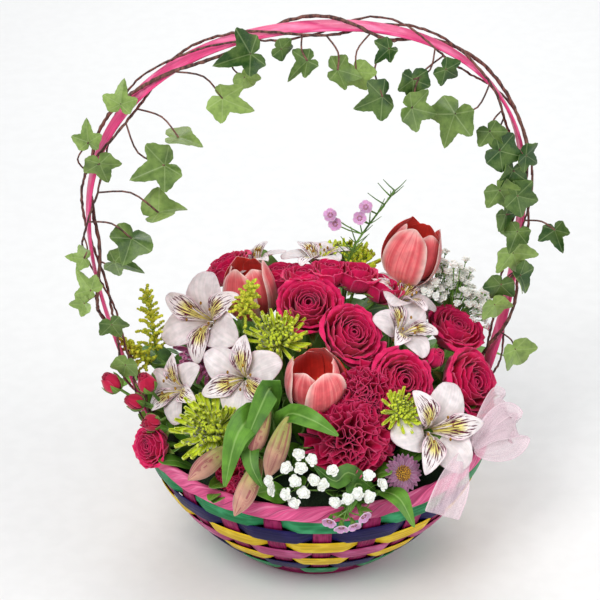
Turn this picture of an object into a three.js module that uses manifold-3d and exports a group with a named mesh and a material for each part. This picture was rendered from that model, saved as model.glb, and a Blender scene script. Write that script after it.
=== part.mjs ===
// A flower basket arrangement: a round woven basket with a fixed hoop handle, floral foam in a liner, cut flowers
// on their own stems, a sheer ribbon bow and ivy wound round the handle.
// Millimetres, +Z up. The origin is the centre of the basket's underside, X runs along the handle and the front is -Y.
import * as THREE from 'three';
import { ConvexGeometry } from 'three/addons/geometries/ConvexGeometry.js';
import { mergeVertices } from 'three/addons/utils/BufferGeometryUtils.js';
import Module from 'manifold-3d';

const wasm = await Module();
wasm.setup();

// ---- Basket ----
const STAKES = 22;
const BASE_RADIUS = 68; // middle of the wall at the underside
const TOP_RADIUS = 146.5; // middle of the wall under the rim
const SWELL_HEIGHT = 115; // the wall stands upright from here
const SWELL_POWER = 1.7;
const WALL_BENDS = [0, 13, 40.7, 80.7, 105.5]; // heights where the straight facets of the wall meet
const BASE_DISC = { radius: 74, thickness: 5 };
const STAKE = { halfWidth: 8, halfThickness: 0.8, foot: 1.5, top: 105.5 };
const STRIP = { halfThickness: 0.8, offset: 2.0, halfSpan: 8.8 };
const RIM = { inner: 144.2, outer: 150, low: 106, high: 123, wraps: 22, relief: 0.9 };
const WEAVERS = [
  { name: 'weaver_green_bottom', low: 14, high: 26.8, color: 0x2f8f57, outsideEven: true },
  { name: 'weaver_navy_lower', low: 27.6, high: 40.4, color: 0x2a2358, outsideEven: false },
  { name: 'weaver_yellow_lower', low: 41, high: 52.9, color: 0xd9b92c, outsideEven: true },
  { name: 'weaver_pink_middle', low: 53.7, high: 66.4, color: 0xc05a90, outsideEven: false },
  { name: 'weaver_yellow_upper', low: 67, high: 80.3, color: 0xd9b92c, outsideEven: true },
  { name: 'weaver_navy_upper', low: 81.1, high: 95.6, color: 0x2a2358, outsideEven: false },
  { name: 'weaver_green_top', low: 96.2, high: 105, color: 0x3fa566, outsideEven: true },
];

// ---- Handle ----
const HANDLE = { width: 20, thickness: 3, wallOffset: 4.8, foot: 30, start: 125 };
const ARCH = { halfWidth: 180, footInset: 39.2, shoulder: 195, crown: 160, lower: 1.8, upper: 2.2, lean: 7 };
const ARCH_SECTIONS = 28;

// ---- Inside ----
const LINER = { sides: 11, floor: 5.4, wall: 1.6, wallOffset: 7.4, bends: [40.7, 80.7], top: 103, floorInset: 40 };
const FOAM = { clearance: 0.5, shoulder: 108, crown: 27, radius: 130 };
const SEAT_GAP = 0.4; // between a piece and what it lies against

// ---- Flowers ----
const ROOT_SPREAD = 0.42; // how far out a stem's root lies, as a share of its head's distance from the middle
const ROOT_HEIGHT = 84;
const STEM_RADIUS = 2.3;
const STEM_SIDES = 3;
const FOCUS = new THREE.Vector3(0, 0, 70); // heads that state no facing look away from here
const BLADE_THICKNESS = 0.9;
const FLAT_CUT_SHARE = 0.72; // a head is cut flat beside its neighbour where at least this much of it stays

const GREEN = { color: 0x4f8a2e, roughness: 0.6 };
const ROSE_PINK = { color: 0xc2185b, roughness: 0.65 };
const PETAL_WHITE = { color: 0xf2e4e6, roughness: 0.5 };

const vec = (x, y, z) => new THREE.Vector3(x, y, z);
const arrangement = new THREE.Group();

// ---- Solids ----

// A closed surface as a solid for joining and cutting, with its faces turned out.
function solidOf(geometry) {
  const bare = new THREE.BufferGeometry();
  bare.setAttribute('position', (geometry.index ? geometry.toNonIndexed() : geometry).getAttribute('position'));
  const merged = mergeVertices(bare, 1e-4);
  const index = merged.index.array;
  const corners = [];
  for (let i = 0; i < index.length; i += 3) {
    const [a, b, c] = index.subarray(i, i + 3);
    if (a !== b && b !== c && c !== a) corners.push(a, b, c);
  }
  const build = (triangles) => new wasm.Manifold(new wasm.Mesh({
    numProp: 3,
    vertProperties: merged.attributes.position.array,
    triVerts: new Uint32Array(triangles),
  }));
  const solid = build(corners);
  return solid.volume() < 0 ? build(corners.reverse()) : solid;
}

const joined = (solids) => solids.reduce((whole, next) => whole.add(next));

// The biggest of the bodies that a cut leaves.
function largest(solid) {
  return solid.decompose().reduce((best, body) => (body.volume() > best.volume() ? body : best));
}

function overlaps(a, b) {
  const [boxA, boxB] = [a.boundingBox(), b.boundingBox()];
  return boxA.min.every((low, i) => low <= boxB.max[i] && boxB.min[i] <= boxA.max[i]);
}

const without = (solid, cutter) => (overlaps(solid, cutter) ? solid.subtract(cutter) : solid);

function addNode(name, solid, { color, roughness = 0.6, metalness = 0 }) {
  const { vertProperties, triVerts } = solid.getMesh();
  const geometry = new THREE.BufferGeometry();
  geometry.setAttribute('position', new THREE.BufferAttribute(new Float32Array(vertProperties), 3));
  geometry.setIndex(new THREE.BufferAttribute(new Uint32Array(triVerts), 1));
  const mesh = new THREE.Mesh(geometry, new THREE.MeshStandardMaterial({ color, roughness, metalness }));
  mesh.name = name;
  arrangement.add(mesh);
}

// ---- Shapes ----

// Repeatable random numbers from 0 to 1.
function randomFrom(seed) {
  let state = seed;
  return () => {
    state = (state + 0x6d2b79f5) | 0;
    let mixed = Math.imul(state ^ (state >>> 15), 1 | state);
    mixed = (mixed + Math.imul(mixed ^ (mixed >>> 7), 61 | mixed)) ^ mixed;
    return ((mixed ^ (mixed >>> 14)) >>> 0) / 4294967296;
  };
}

// A profile of [radius, height] turned about Z. `place(turn, ring, point)` may move each corner.
function turned(profile, segments, place = (turn, ring, point) => point) {
  const points = profile.map(([radius, height]) => new THREE.Vector2(radius, height));
  const geometry = new THREE.LatheGeometry(points, segments);
  geometry.rotateX(Math.PI / 2);
  const position = geometry.getAttribute('position');
  const corner = vec(0, 0, 0);
  for (let i = 0; i < position.count; i++) {
    const turn = Math.floor(i / points.length) % segments;
    corner.fromBufferAttribute(position, turn * points.length + (i % points.length));
    const { x, y, z } = place(turn, i % points.length, corner);
    if (turn * points.length + (i % points.length) === i) position.setXYZ(i, x, y, z);
    else position.copyAt(i, position, i % points.length);
  }
  return geometry;
}

// A stalk along its points, with few sides.
function stalk(points, radius, { steps = 1, sides = STEM_SIDES } = {}) {
  const section = new THREE.Shape();
  for (let side = 0; side < sides; side++) {
    const angle = (side / sides) * 2 * Math.PI;
    const [x, y] = [radius * Math.cos(angle), radius * Math.sin(angle)];
    if (side) section.lineTo(x, y);
    else section.moveTo(x, y);
  }
  section.closePath();
  const path = new THREE.CatmullRomCurve3(points);
  return solidOf(new THREE.ExtrudeGeometry(section, { steps, extrudePath: path, bevelEnabled: false }));
}

// The same stalk, larger all round and at both ends: the room that it needs.
function sleeve(points, radius, options) {
  const grown = radius + 2 * SEAT_GAP;
  const [first, last] = [points[0], points[points.length - 1]];
  const before = first.clone().sub(points[1]).setLength(SEAT_GAP);
  const after = last.clone().sub(points[points.length - 2]).setLength(SEAT_GAP);
  const longer = [first.clone().add(before), ...points.slice(1, -1), last.clone().add(after)];
  return stalk(longer, grown, options);
}

// A thin blade. `shape(u, v)` is its middle at u across (-1 to 1) and v along (0 to 1); both faces are split alike.
function blade(shape, across, along, thickness = BLADE_THICKNESS) {
  const step = 0.02;
  const faces = [[], []];
  for (let row = 0; row <= along; row++) {
    for (let column = 0; column <= across; column++) {
      const [u, v] = [(2 * column) / across - 1, row / along];
      const right = shape(Math.min(u + step, 1), v).sub(shape(Math.max(u - step, -1), v));
      const ahead = shape(u, Math.min(v + step, 1)).sub(shape(u, Math.max(v - step, 0)));
      const normal = right.cross(ahead).setLength(thickness / 2);
      faces[0].push(shape(u, v).add(normal));
      faces[1].push(shape(u, v).sub(normal));
    }
  }
  const corners = [...faces[0], ...faces[1]];
  const under = faces[0].length;
  const at = (row, column) => row * (across + 1) + column;
  const triangles = [];
  const quad = (a, b, c, d) => triangles.push(a, b, c, a, c, d);
  for (let row = 0; row < along; row++) {
    for (let column = 0; column < across; column++) {
      const [a, b] = [at(row, column), at(row, column + 1)];
      const [c, d] = [at(row + 1, column + 1), at(row + 1, column)];
      quad(a, b, c, d);
      triangles.push(under + a, under + c, under + b, under + a, under + d, under + c);
    }
    quad(at(row, 0), at(row + 1, 0), under + at(row + 1, 0), under + at(row, 0));
    quad(at(row + 1, across), at(row, across), under + at(row, across), under + at(row + 1, across));
  }
  for (let column = 0; column < across; column++) {
    quad(at(0, column + 1), at(0, column), under + at(0, column), under + at(0, column + 1));
    quad(at(along, column), at(along, column + 1), under + at(along, column + 1), under + at(along, column));
  }
  const geometry = new THREE.BufferGeometry();
  geometry.setAttribute('position', new THREE.Float32BufferAttribute(corners.flatMap((p) => [p.x, p.y, p.z]), 3));
  geometry.setIndex(triangles);
  return geometry;
}

// Moves a shape made about its own +Z to `at`, with +Z turned to `facing`.
function aimed(geometry, at, facing, roll = 0) {
  const turn = new THREE.Quaternion().setFromUnitVectors(vec(0, 0, 1), facing.clone().normalize());
  geometry.rotateZ(roll);
  geometry.applyQuaternion(turn);
  return geometry.translate(at.x, at.y, at.z);
}

// The convex room round some corners, `gap` wider on every side.
function roomAround(points, gap = 1.6 * SEAT_GAP) {
  const offsets = [vec(gap, 0, 0), vec(-gap, 0, 0), vec(0, gap, 0), vec(0, -gap, 0), vec(0, 0, gap), vec(0, 0, -gap)];
  return solidOf(new ConvexGeometry(points.flatMap((point) => offsets.map((offset) => point.clone().add(offset)))));
}

function cornersOf(geometry) {
  const position = geometry.getAttribute('position');
  return Array.from({ length: position.count }, (_, i) => vec(0, 0, 0).fromBufferAttribute(position, i));
}

// ---- Basket wall ----

function smoothWallRadius(z) {
  const share = Math.min(z / SWELL_HEIGHT, 1);
  return BASE_RADIUS + (TOP_RADIUS - BASE_RADIUS) * (1 - (1 - share) ** SWELL_POWER);
}

// Radius and slope of the faceted wall at a height.
function wallAt(z) {
  let facet = WALL_BENDS.findIndex((bend) => bend > z);
  if (facet < 0) facet = WALL_BENDS.length - 1;
  const [low, high] = [WALL_BENDS[facet - 1], WALL_BENDS[facet]];
  const slope = (smoothWallRadius(high) - smoothWallRadius(low)) / (high - low);
  return { radius: smoothWallRadius(low) + slope * (z - low), slope };
}

// A point of the wall: at a stake's bearing, `aside` along the wall and `out` of its middle.
function wallPoint(stake, aside, z, out, slope = wallAt(z).slope) {
  const angle = (stake / STAKES) * 2 * Math.PI;
  const share = out / Math.hypot(1, slope);
  const radius = wallAt(z).radius + share;
  const [cos, sin] = [Math.cos(angle), Math.sin(angle)];
  return vec(cos * radius - sin * aside, sin * radius + cos * aside, z - share * slope);
}

function bendSlope(z) {
  return (wallAt(z - 0.1).slope + wallAt(Math.min(z + 0.1, STAKE.top)).slope) / 2;
}

// One upright stake, flat outside, sunk in the base disc.
function stakeSolid(stake) {
  const heights = [STAKE.foot, ...WALL_BENDS.slice(1)];
  const section = [[STAKE.halfWidth, STAKE.halfThickness], [-STAKE.halfWidth, STAKE.halfThickness],
    [0, -STAKE.halfThickness]];
  const corners = heights.map((z) => section.map(([aside, out]) => wallPoint(stake, aside, z, out, bendSlope(z))));
  return lofted(corners);
}

// A bar through a row of sections with the same number of corners, closed at both ends.
function lofted(sections) {
  const sides = sections[0].length;
  const triangles = [];
  for (let i = 0; i < sections.length - 1; i++) {
    for (let side = 0; side < sides; side++) {
      const [a, b] = [i * sides + side, i * sides + ((side + 1) % sides)];
      triangles.push(a, b, b + sides, a, b + sides, a + sides);
    }
  }
  const end = (sections.length - 1) * sides;
  for (let side = 1; side < sides - 1; side++) {
    triangles.push(0, side + 1, side, end, end + side, end + side + 1);
  }
  const geometry = new THREE.BufferGeometry();
  const flat = sections.flat().flatMap((p) => [p.x, p.y, p.z]);
  geometry.setAttribute('position', new THREE.Float32BufferAttribute(flat, 3));
  geometry.setIndex(triangles);
  return solidOf(geometry);
}

function addBasketWall() {
  const disc = solidOf(turned([[0, 0], [BASE_DISC.radius - 3, 0], [BASE_DISC.radius, BASE_DISC.thickness],
    [0, BASE_DISC.thickness]], STAKES));
  const stakes = Array.from({ length: STAKES }, (_, stake) => stakeSolid(stake));
  addNode('basket_base_and_stakes', joined([disc, ...stakes]), { color: 0xb01f5a, roughness: 0.55 });
  for (const weaver of WEAVERS) addWeaver(weaver);
}

// A strip that passes outside one stake and inside the next, flat where it crosses each.
function addWeaver({ name, low, high, color, outsideEven }) {
  const { slope } = wallAt((low + high) / 2);
  const section = [[low, STRIP.halfThickness], [high, STRIP.halfThickness],
    [(low + high) / 2, -STRIP.halfThickness], [low, STRIP.halfThickness]];
  const ring = turned(section.map(([z]) => [TOP_RADIUS, z]), 2 * STAKES, (turn, corner) => {
    const stake = Math.floor(turn / 2);
    const side = turn % 2 ? 1 : -1;
    const weave = (stake % 2 === 0) === outsideEven ? STRIP.offset : -STRIP.offset;
    const [z, out] = section[corner];
    return wallPoint(stake, side * STRIP.halfSpan, z, weave + out, slope);
  });
  addNode(name, solidOf(ring), { color, roughness: 0.5 });
}

// The rim: one hoop whose wrapping lies over it in slanting strips.
function rimSolid() {
  const profile = [[RIM.inner, RIM.low], [RIM.outer, RIM.low], [RIM.outer, RIM.high], [RIM.inner, RIM.high],
    [RIM.inner, RIM.low]];
  const sunk = 1 - RIM.relief / RIM.outer;
  return solidOf(turned(profile, 2 * RIM.wraps, (turn, ring, point) => {
    const outside = ring === 1 || ring === 2;
    return outside && (turn + ring) % 2 ? point.multiply(vec(sunk, sunk, 1)) : point;
  }));
}

// ---- Handle ----

// The middle of the band: t runs from -1 at the left of the rim over the top at 0 to 1 at the right.
function archPoint(t) {
  const side = Math.sign(t) || 1;
  const share = Math.abs(t);
  let [x, z] = [0, 0];
  if (share > 0.5) {
    z = 2 * (1 - share) * ARCH.shoulder;
    x = ARCH.halfWidth - ARCH.footInset * (1 - z / ARCH.shoulder) ** ARCH.lower;
  } else {
    const angle = (0.5 - share) * Math.PI;
    x = ARCH.halfWidth * Math.cos(angle) ** (2 / ARCH.upper);
    z = ARCH.shoulder + ARCH.crown * Math.sin(angle) ** (2 / ARCH.upper);
  }
  const lean = ARCH.lean * THREE.MathUtils.smoothstep(z, 0, ARCH.shoulder);
  return vec(side * x - lean, 0, HANDLE.start + z);
}

// A point beside the arch: `out` away from its middle in its own plane and `aside` along Y.
function besideArch(t, out, aside) {
  const ahead = archPoint(Math.min(t + 0.01, 1)).sub(archPoint(Math.max(t - 0.01, -1))).normalize();
  return archPoint(t).add(vec(-ahead.z * out, aside, ahead.x * out));
}

function handleSolid(grow = 0) {
  const footHeights = WALL_BENDS.filter((z) => z > HANDLE.foot);
  const foot = [HANDLE.foot, ...footHeights].map((z) => wallPoint(0, 0, z, -HANDLE.wallOffset, bendSlope(z)));
  const mirrored = foot.map((point) => vec(-point.x, 0, point.z));
  const arch = Array.from({ length: ARCH_SECTIONS + 1 }, (_, i) => archPoint((2 * i) / ARCH_SECTIONS - 1));
  const middle = [...mirrored, ...arch, ...foot.reverse()];
  const half = HANDLE.thickness / 2 + grow;
  const sides = [1, -1].map((side) => middle.map((point, i) => {
    const before = middle[Math.max(i - 1, 0)];
    const after = middle[Math.min(i + 1, middle.length - 1)];
    const ahead = after.clone().sub(before).normalize();
    return new THREE.Vector2(point.x - side * half * ahead.z, point.z + side * half * ahead.x);
  }));
  const outline = new THREE.Shape([...sides[0], ...sides[1].reverse()]);
  const width = HANDLE.width + 2 * grow;
  const band = new THREE.ExtrudeGeometry(outline, { depth: width, bevelEnabled: false });
  return solidOf(band.rotateX(Math.PI / 2).translate(0, width / 2, 0));
}

// ---- Liner and foam ----

function linerProfile(offset, floor, top) {
  const wall = [...LINER.bends, top].map((z) => {
    const { x, z: height } = wallPoint(0, 0, z, -offset, z === top ? wallAt(z).slope : bendSlope(z));
    return [x, height];
  });
  return [[wall[0][0] - LINER.floorInset, floor], ...wall];
}

function linerSolid() {
  const outside = linerProfile(LINER.wallOffset, LINER.floor, LINER.top);
  const inside = linerProfile(LINER.wallOffset + LINER.wall, LINER.floor + LINER.wall, LINER.top);
  const profile = [[0, LINER.floor], ...outside, ...inside.reverse(), [0, LINER.floor + LINER.wall]];
  return solidOf(turned(profile, LINER.sides));
}

function foamSolid(grow = 0) {
  const inset = LINER.wallOffset + LINER.wall + FOAM.clearance;
  const floor = LINER.floor + LINER.wall + FOAM.clearance;
  const body = linerProfile(inset - grow, floor, LINER.top);
  const domed = [1, 0.8, 0.45].map((share) => [
    (FOAM.radius + grow) * share,
    FOAM.shoulder + grow + FOAM.crown * Math.sqrt(1 - share * share),
  ]);
  return solidOf(turned([[0, floor], ...body, ...domed, [0, FOAM.shoulder + FOAM.crown + grow]], LINER.sides));
}

// The room that the rim, wall, handle and foam take up. No piece outside hangs below its floor.
const HOLDER = { floor: 60, bend: 80, clearance: 4, depth: 14 };

function holderRoom() {
  const { floor, bend, clearance, depth } = HOLDER;
  const outer = (z) => wallAt(z).radius + clearance;
  const [near, far] = [RIM.inner - SEAT_GAP, RIM.outer + SEAT_GAP];
  const top = RIM.high + SEAT_GAP;
  const walls = turned([[outer(floor) - depth, floor], [outer(floor), floor], [outer(bend), bend], [far, RIM.low],
    [far, top], [near, top], [near, RIM.low], [outer(LINER.top) - depth, LINER.top + 1],
    [outer(floor) - depth, floor]], 2 * STAKES);
  return joined([solidOf(walls), handleSolid(SEAT_GAP), foamSolid(SEAT_GAP)]);
}

// ---- Flower heads, each about its own +Z, one unit in radius ----

// Rings of corners from the underside over the petals' edges to the middle. A ring is [radius, height] at the notch
// between two petals, how far its crest swells and lifts, its twist in petals, and its ruffle.
function whorled(petals, steps, rings, { seed = 1, alternate = 0 } = {}) {
  const random = randomFrom(seed);
  const segments = petals * steps;
  const ruffles = Array.from({ length: segments }, () => 2 * random() - 1);
  return turned(rings.map((ring) => [ring.r, ring.z]), segments, (turn, index) => {
    const { r, z, swell = 0, lift = 0, twist = 0, ruffle = 0 } = rings[index];
    if (r === 0) return vec(0, 0, z);
    const crest = Math.sqrt(Math.sin((Math.PI * (turn % steps)) / steps));
    const odd = Math.floor(turn / steps) % 2 ? 1 - alternate : 1;
    const wave = ruffles[(turn + 3 * index) % segments] * ruffle;
    const angle = ((turn / steps + twist) / petals) * 2 * Math.PI;
    const radius = r + swell * crest * odd + wave;
    return vec(radius * Math.cos(angle), radius * Math.sin(angle), z + lift * crest + wave / 2);
  });
}

const ROSE_RINGS = [
  { r: 0, z: -0.6 },
  { r: 0.66, z: -0.2, swell: 0.1 },
  { r: 0.84, z: 0.14, swell: 0.15, lift: 0.05, ruffle: 0.03 },
  { r: 0.7, z: 0.05, twist: 0.25 },
  { r: 0.58, z: 0.34, swell: 0.13, lift: 0.1, twist: 0.5, ruffle: 0.02 },
  { r: 0.42, z: 0.2, twist: 0.75 },
  { r: 0.3, z: 0.42, swell: 0.12, lift: 0.12, twist: 1 },
  { r: 0, z: 0.26 },
];
const SMALL_ROSE_RINGS = [
  { r: 0, z: -0.6 },
  { r: 0.8, z: 0.05, swell: 0.17, lift: 0.05, ruffle: 0.03 },
  { r: 0.62, z: 0.08, twist: 0.25 },
  { r: 0.44, z: 0.34, swell: 0.15, lift: 0.1, twist: 0.5 },
  { r: 0.26, z: 0.24, twist: 0.75 },
  { r: 0, z: 0.46 },
];
const BUD_RINGS = [
  { r: 0, z: -1 },
  { r: 0.9, z: -0.15, swell: 0.1 },
  { r: 0.5, z: 0.8, swell: 0.18, lift: 0.12 },
  { r: 0.28, z: 0.7, twist: 0.3 },
  { r: 0, z: 1 },
];
const CARNATION_RINGS = [
  { r: 0, z: -0.78 },
  { r: 0.4, z: -0.42 },
  { r: 0.82, z: -0.1, swell: 0.16, lift: 0.06, ruffle: 0.05 },
  { r: 0.66, z: 0 },
  { r: 0.66, z: 0.26, swell: 0.16, lift: 0.08, twist: 0.5, ruffle: 0.05 },
  { r: 0.48, z: 0.22, twist: 0.5 },
  { r: 0.36, z: 0.46, swell: 0.16, lift: 0.08, twist: 1, ruffle: 0.04 },
  { r: 0, z: 0.4 },
];
const TULIP_RINGS = [
  { r: 0, z: -1 },
  { r: 0.82, z: -0.55 },
  { r: 0.94, z: 0.15, swell: 0.06 },
  { r: 0.78, z: 0.62, swell: 0.08, lift: 0.55 },
  { r: 0.7, z: 0.56, swell: 0.08, lift: 0.36 },
  { r: 0.78, z: 0.05, swell: 0.05 },
  { r: 0, z: -0.6 },
];
const SPIDER_RINGS = [
  { r: 0, z: -0.4 },
  { r: 0.46, z: -0.14, swell: 0.52, lift: -0.02, ruffle: 0.03 },
  { r: 0.45, z: 0.02 },
  { r: 0.4, z: 0.16, swell: 0.4, lift: 0.1, twist: 0.5, ruffle: 0.02 },
  { r: 0.34, z: 0.2, twist: 0.5 },
  { r: 0.26, z: 0.34, swell: 0.28, lift: 0.16, twist: 1 },
  { r: 0, z: 0.3 },
];
const DAISY_RINGS = [
  { r: 0, z: -0.32 },
  { r: 0.46, z: -0.02, swell: 0.52, lift: 0.02, ruffle: 0.03 },
  { r: 0.38, z: 0.1 },
  { r: 0.24, z: 0.24 },
  { r: 0, z: 0.28 },
];
const TRUMPET_RINGS = [
  { r: 0, z: -0.55 },
  { r: 0.2, z: -0.16, swell: 0.32 },
  { r: 0.27, z: 0.04, swell: 0.7, lift: 0.16, ruffle: 0.03 },
  { r: 0.17, z: -0.02, swell: 0.33, lift: 0.03 },
  { r: 0, z: -0.2 },
];
const SPINDLE_RINGS = [
  { r: 0, z: -1 },
  { r: 0.2, z: -0.66 },
  { r: 0.25, z: 0.1, swell: 0.03 },
  { r: 0.17, z: 0.7 },
  { r: 0, z: 1 },
];
const PLUME_RINGS = [
  { r: 0, z: -1 },
  { r: 0.1, z: -0.72, swell: 0.16, lift: 0.1 },
  { r: 0.1, z: -0.4, swell: 0.16, lift: 0.1, twist: 0.5 },
  { r: 0.09, z: -0.06, swell: 0.15, lift: 0.1, twist: 1 },
  { r: 0.08, z: 0.28, swell: 0.12, lift: 0.1, twist: 1.5 },
  { r: 0.05, z: 0.62, swell: 0.09, lift: 0.1, twist: 2 },
  { r: 0, z: 1 },
];
const FLORET = { stalk: 0.8 };
const FLORET_RINGS = [
  { r: 0.55, z: 0, swell: 0.45, lift: 0.15 },
  { r: 0, z: 0.6 },
];

const KINDS = {
  rose: { petals: 5, steps: 3, rings: ROSE_RINGS, depth: 0.5 },
  smallRose: { petals: 5, steps: 2, rings: SMALL_ROSE_RINGS, depth: 0.5 },
  bud: { petals: 3, steps: 2, rings: BUD_RINGS, depth: 0.8 },
  carnation: { petals: 10, steps: 2, rings: CARNATION_RINGS, depth: 0.68 },
  smallCarnation: { petals: 7, steps: 2, rings: CARNATION_RINGS, depth: 0.68 },
  tulip: { petals: 6, steps: 2, rings: TULIP_RINGS, depth: 0.9 },
  spider: { petals: 10, steps: 2, rings: SPIDER_RINGS, depth: 0.3 },
  pompon: { petals: 8, steps: 2, rings: SPIDER_RINGS, depth: 0.3 },
  daisy: { petals: 10, steps: 2, rings: DAISY_RINGS, depth: 0.22 },
  alstroemeria: { petals: 6, steps: 3, rings: TRUMPET_RINGS, depth: 0.46, alternate: 0.16, open: true },
  smallAlstroemeria: { petals: 6, steps: 2, rings: TRUMPET_RINGS, depth: 0.46, alternate: 0.16, open: true },
  lilyBud: { petals: 3, steps: 2, rings: SPINDLE_RINGS, depth: 0.9 },
  plume: { petals: 3, steps: 2, rings: PLUME_RINGS, depth: 0.9 },
};

// One head with the room round it, and the place where its stem meets it. An open head has a room for each petal.
function head(kind, at, size, { facing = null, seed = 1 } = {}) {
  const { petals, steps, rings, depth, alternate = 0, open = false } = KINDS[kind];
  const middle = Array.isArray(at) ? vec(...at) : at;
  const look = (facing ? vec(...facing) : middle.clone().sub(FOCUS)).normalize();
  const shape = aimed(whorled(petals, steps, rings, { seed, alternate }).scale(size, size, size), middle, look, seed);
  const corners = cornersOf(shape);
  const perPetal = steps * rings.length;
  const petal = (index) => corners.slice(index * perPetal, (index + 1) * perPetal + rings.length);
  return {
    solid: solidOf(shape),
    rooms: open ? Array.from({ length: petals }, (_, index) => roomAround(petal(index))) : [roomAround(corners)],
    corners: open ? null : corners,
    base: middle.clone().addScaledVector(look, -depth * size),
    middle,
    look,
  };
}

// A small flower and the thin stalk that carries it, in one, with the room round them.
function floret(at, from, size, petals, seed) {
  const [tail, neck] = [from.distanceTo(at) / size, FLORET.stalk / size];
  const rings = [{ r: 0, z: -tail }, { r: neck, z: -tail }, { r: neck, z: -0.6 }, ...FLORET_RINGS];
  const look = at.clone().sub(from).normalize();
  const shape = aimed(whorled(petals, 2, rings, { seed }).scale(size, size, size), at, look, seed);
  const corners = cornersOf(shape);
  const star = corners.filter((_, i) => i % rings.length >= 3);
  return { solid: solidOf(shape), room: joined([roomAround(star), sleeve([at, from], FLORET.stalk)]) };
}

// ---- Growing pieces: each has heads, which give way to others, and stalks, which never do ----

const growing = [];

function rootBelow(point) {
  return vec(point.x * ROOT_SPREAD, point.y * ROOT_SPREAD, ROOT_HEIGHT);
}

function grow(name, heads, stalks, finish, florets = []) {
  const stems = stalks.map(({ points, radius, options }) => stalk(points, radius, options));
  const sleeves = stalks.map(({ points, radius, options }) => sleeve(points, radius, options));
  growing.push({
    name,
    heads,
    stems: joined([...stems, ...florets.map(({ solid }) => solid)]),
    sleeves: joined([...sleeves, ...florets.map(({ room }) => room)]),
    finish,
  });
}

// Makes one head give way to another: by a flat cut where that takes little away, and by the other's room elsewhere.
function giveWay(solid, middle, other) {
  const blocked = other.rooms.filter((room) => overlaps(solid, room) && solid.intersect(room).volume() > 0);
  if (!blocked.length) return solid;
  if (other.corners) {
    const away = middle.clone().sub(other.middle).normalize();
    const reach = Math.max(...other.corners.map((corner) => corner.dot(away))) + SEAT_GAP;
    const trimmed = solid.trimByPlane([away.x, away.y, away.z], reach);
    if (trimmed.volume() > FLAT_CUT_SHARE * solid.volume()) return trimmed;
  }
  return blocked.reduce(without, solid);
}

// A stem from a head down into the foam.
function addBloom({ name, kind, at, size, facing, seed, radius = STEM_RADIUS, root }, finish) {
  const bloom = head(kind, at, size, { facing, seed });
  const top = bloom.base.clone().addScaledVector(bloom.look, 2);
  grow(name, [bloom], [{ points: [top, root ? vec(...root) : rootBelow(bloom.base)], radius }], finish);
}

// Several heads on branches of one stalk.
function addSpray({ name, kind, fork, heads, branchRadius = 1.4 }, finish) {
  const node = vec(...fork);
  const blooms = heads.map(({ at, size, facing, seed }) => head(kind, at, size, { facing, seed }));
  const main = { points: [node.clone().setZ(node.z + 1), rootBelow(node)], radius: STEM_RADIUS };
  const branches = blooms.map(({ base, look }) => ({
    points: [base.clone().addScaledVector(look, 1.5), node],
    radius: branchRadius,
  }));
  grow(name, blooms, [main, ...branches], finish);
}

const ROSES = [
  { name: 'rose_front_right', kind: 'rose', at: [57, -70, 186], size: 26, facing: [0.3, -0.75, 0.6], seed: 2 },
  { name: 'rose_right', kind: 'rose', at: [121, -42, 160], size: 30, facing: [0.65, -0.55, 0.5], seed: 3 },
  { name: 'rose_right_cup', kind: 'smallRose', at: [120, 4, 184], size: 21, facing: [0.35, -0.1, 0.95], seed: 4 },
  { name: 'rose_centre', kind: 'rose', at: [20, -40, 216], size: 24, facing: [0.45, -0.5, 0.75], seed: 5 },
  { name: 'rose_centre_back', kind: 'smallRose', at: [-8, -6, 226], size: 22, facing: [-0.1, -0.3, 0.95], seed: 6 },
  { name: 'rose_left_rim', kind: 'smallRose', at: [-146, -48, 133], size: 19, facing: [-0.8, -0.55, 0.3], seed: 9 },
];
const BACK_ROSES = {
  name: 'roses_back_spray',
  kind: 'smallRose',
  fork: [26, 22, 196],
  heads: [
    { at: [-6, 26, 236], size: 13, seed: 11 },
    { at: [16, 24, 240], size: 13, seed: 12 },
    { at: [38, 20, 236], size: 14, seed: 13 },
    { at: [58, 14, 226], size: 13, seed: 14 },
  ],
};
const BACK_LEFT_ROSES = {
  name: 'roses_back_left',
  kind: 'smallRose',
  fork: [-40, 56, 176],
  heads: [
    { at: [-22, 48, 226], size: 20, facing: [-0.1, 0.2, 1], seed: 7 },
    { at: [-62, 78, 222], size: 21, facing: [-0.4, 0.3, 0.8], seed: 8 },
  ],
};
const RIGHT_BUD = {
  name: 'rosebud_right', kind: 'bud', at: [92, -44, 190], size: 11, facing: [0.3, -0.5, 0.8], seed: 15,
};
const LEFT_BUDS = {
  name: 'rosebuds_left',
  kind: 'bud',
  fork: [-126, -26, 148],
  heads: [
    { at: [-176, -22, 182], size: 10, facing: [-0.6, 0, 0.8], seed: 16 },
    { at: [-148, -30, 184], size: 10, facing: [-0.3, -0.2, 0.9], seed: 17 },
    { at: [-158, -24, 162], size: 9, facing: [-0.8, -0.1, 0.5], seed: 18 },
    { at: [-148, -52, 158], size: 9, facing: [-0.6, -0.6, 0.4], seed: 19 },
  ],
};
const CARNATIONS = [
  {
    name: 'carnation_front', kind: 'carnation', at: [10, -100, 156], size: 37, facing: [0.05, -0.75, 0.65], seed: 21,
  },
  {
    name: 'carnation_upper', kind: 'smallCarnation', at: [22, -72, 186], size: 29, facing: [0.15, -0.55, 0.8],
    seed: 22,
  },
  { name: 'carnation_dark_left', kind: 'smallCarnation', at: [-84, -102, 134], size: 20, seed: 23 },
];
const TULIPS = [
  { name: 'tulip_tall', kind: 'tulip', at: [90, 40, 244], size: 26, facing: [0.3, 0.05, 0.95], seed: 25 },
  { name: 'tulip_centre', kind: 'tulip', at: [-15, -72, 196], size: 26, facing: [-0.1, -0.35, 0.93], seed: 26 },
  { name: 'tulip_left', kind: 'tulip', at: [-50, 34, 224], size: 24, facing: [-0.35, -0.2, 0.9], seed: 27 },
];
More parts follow.
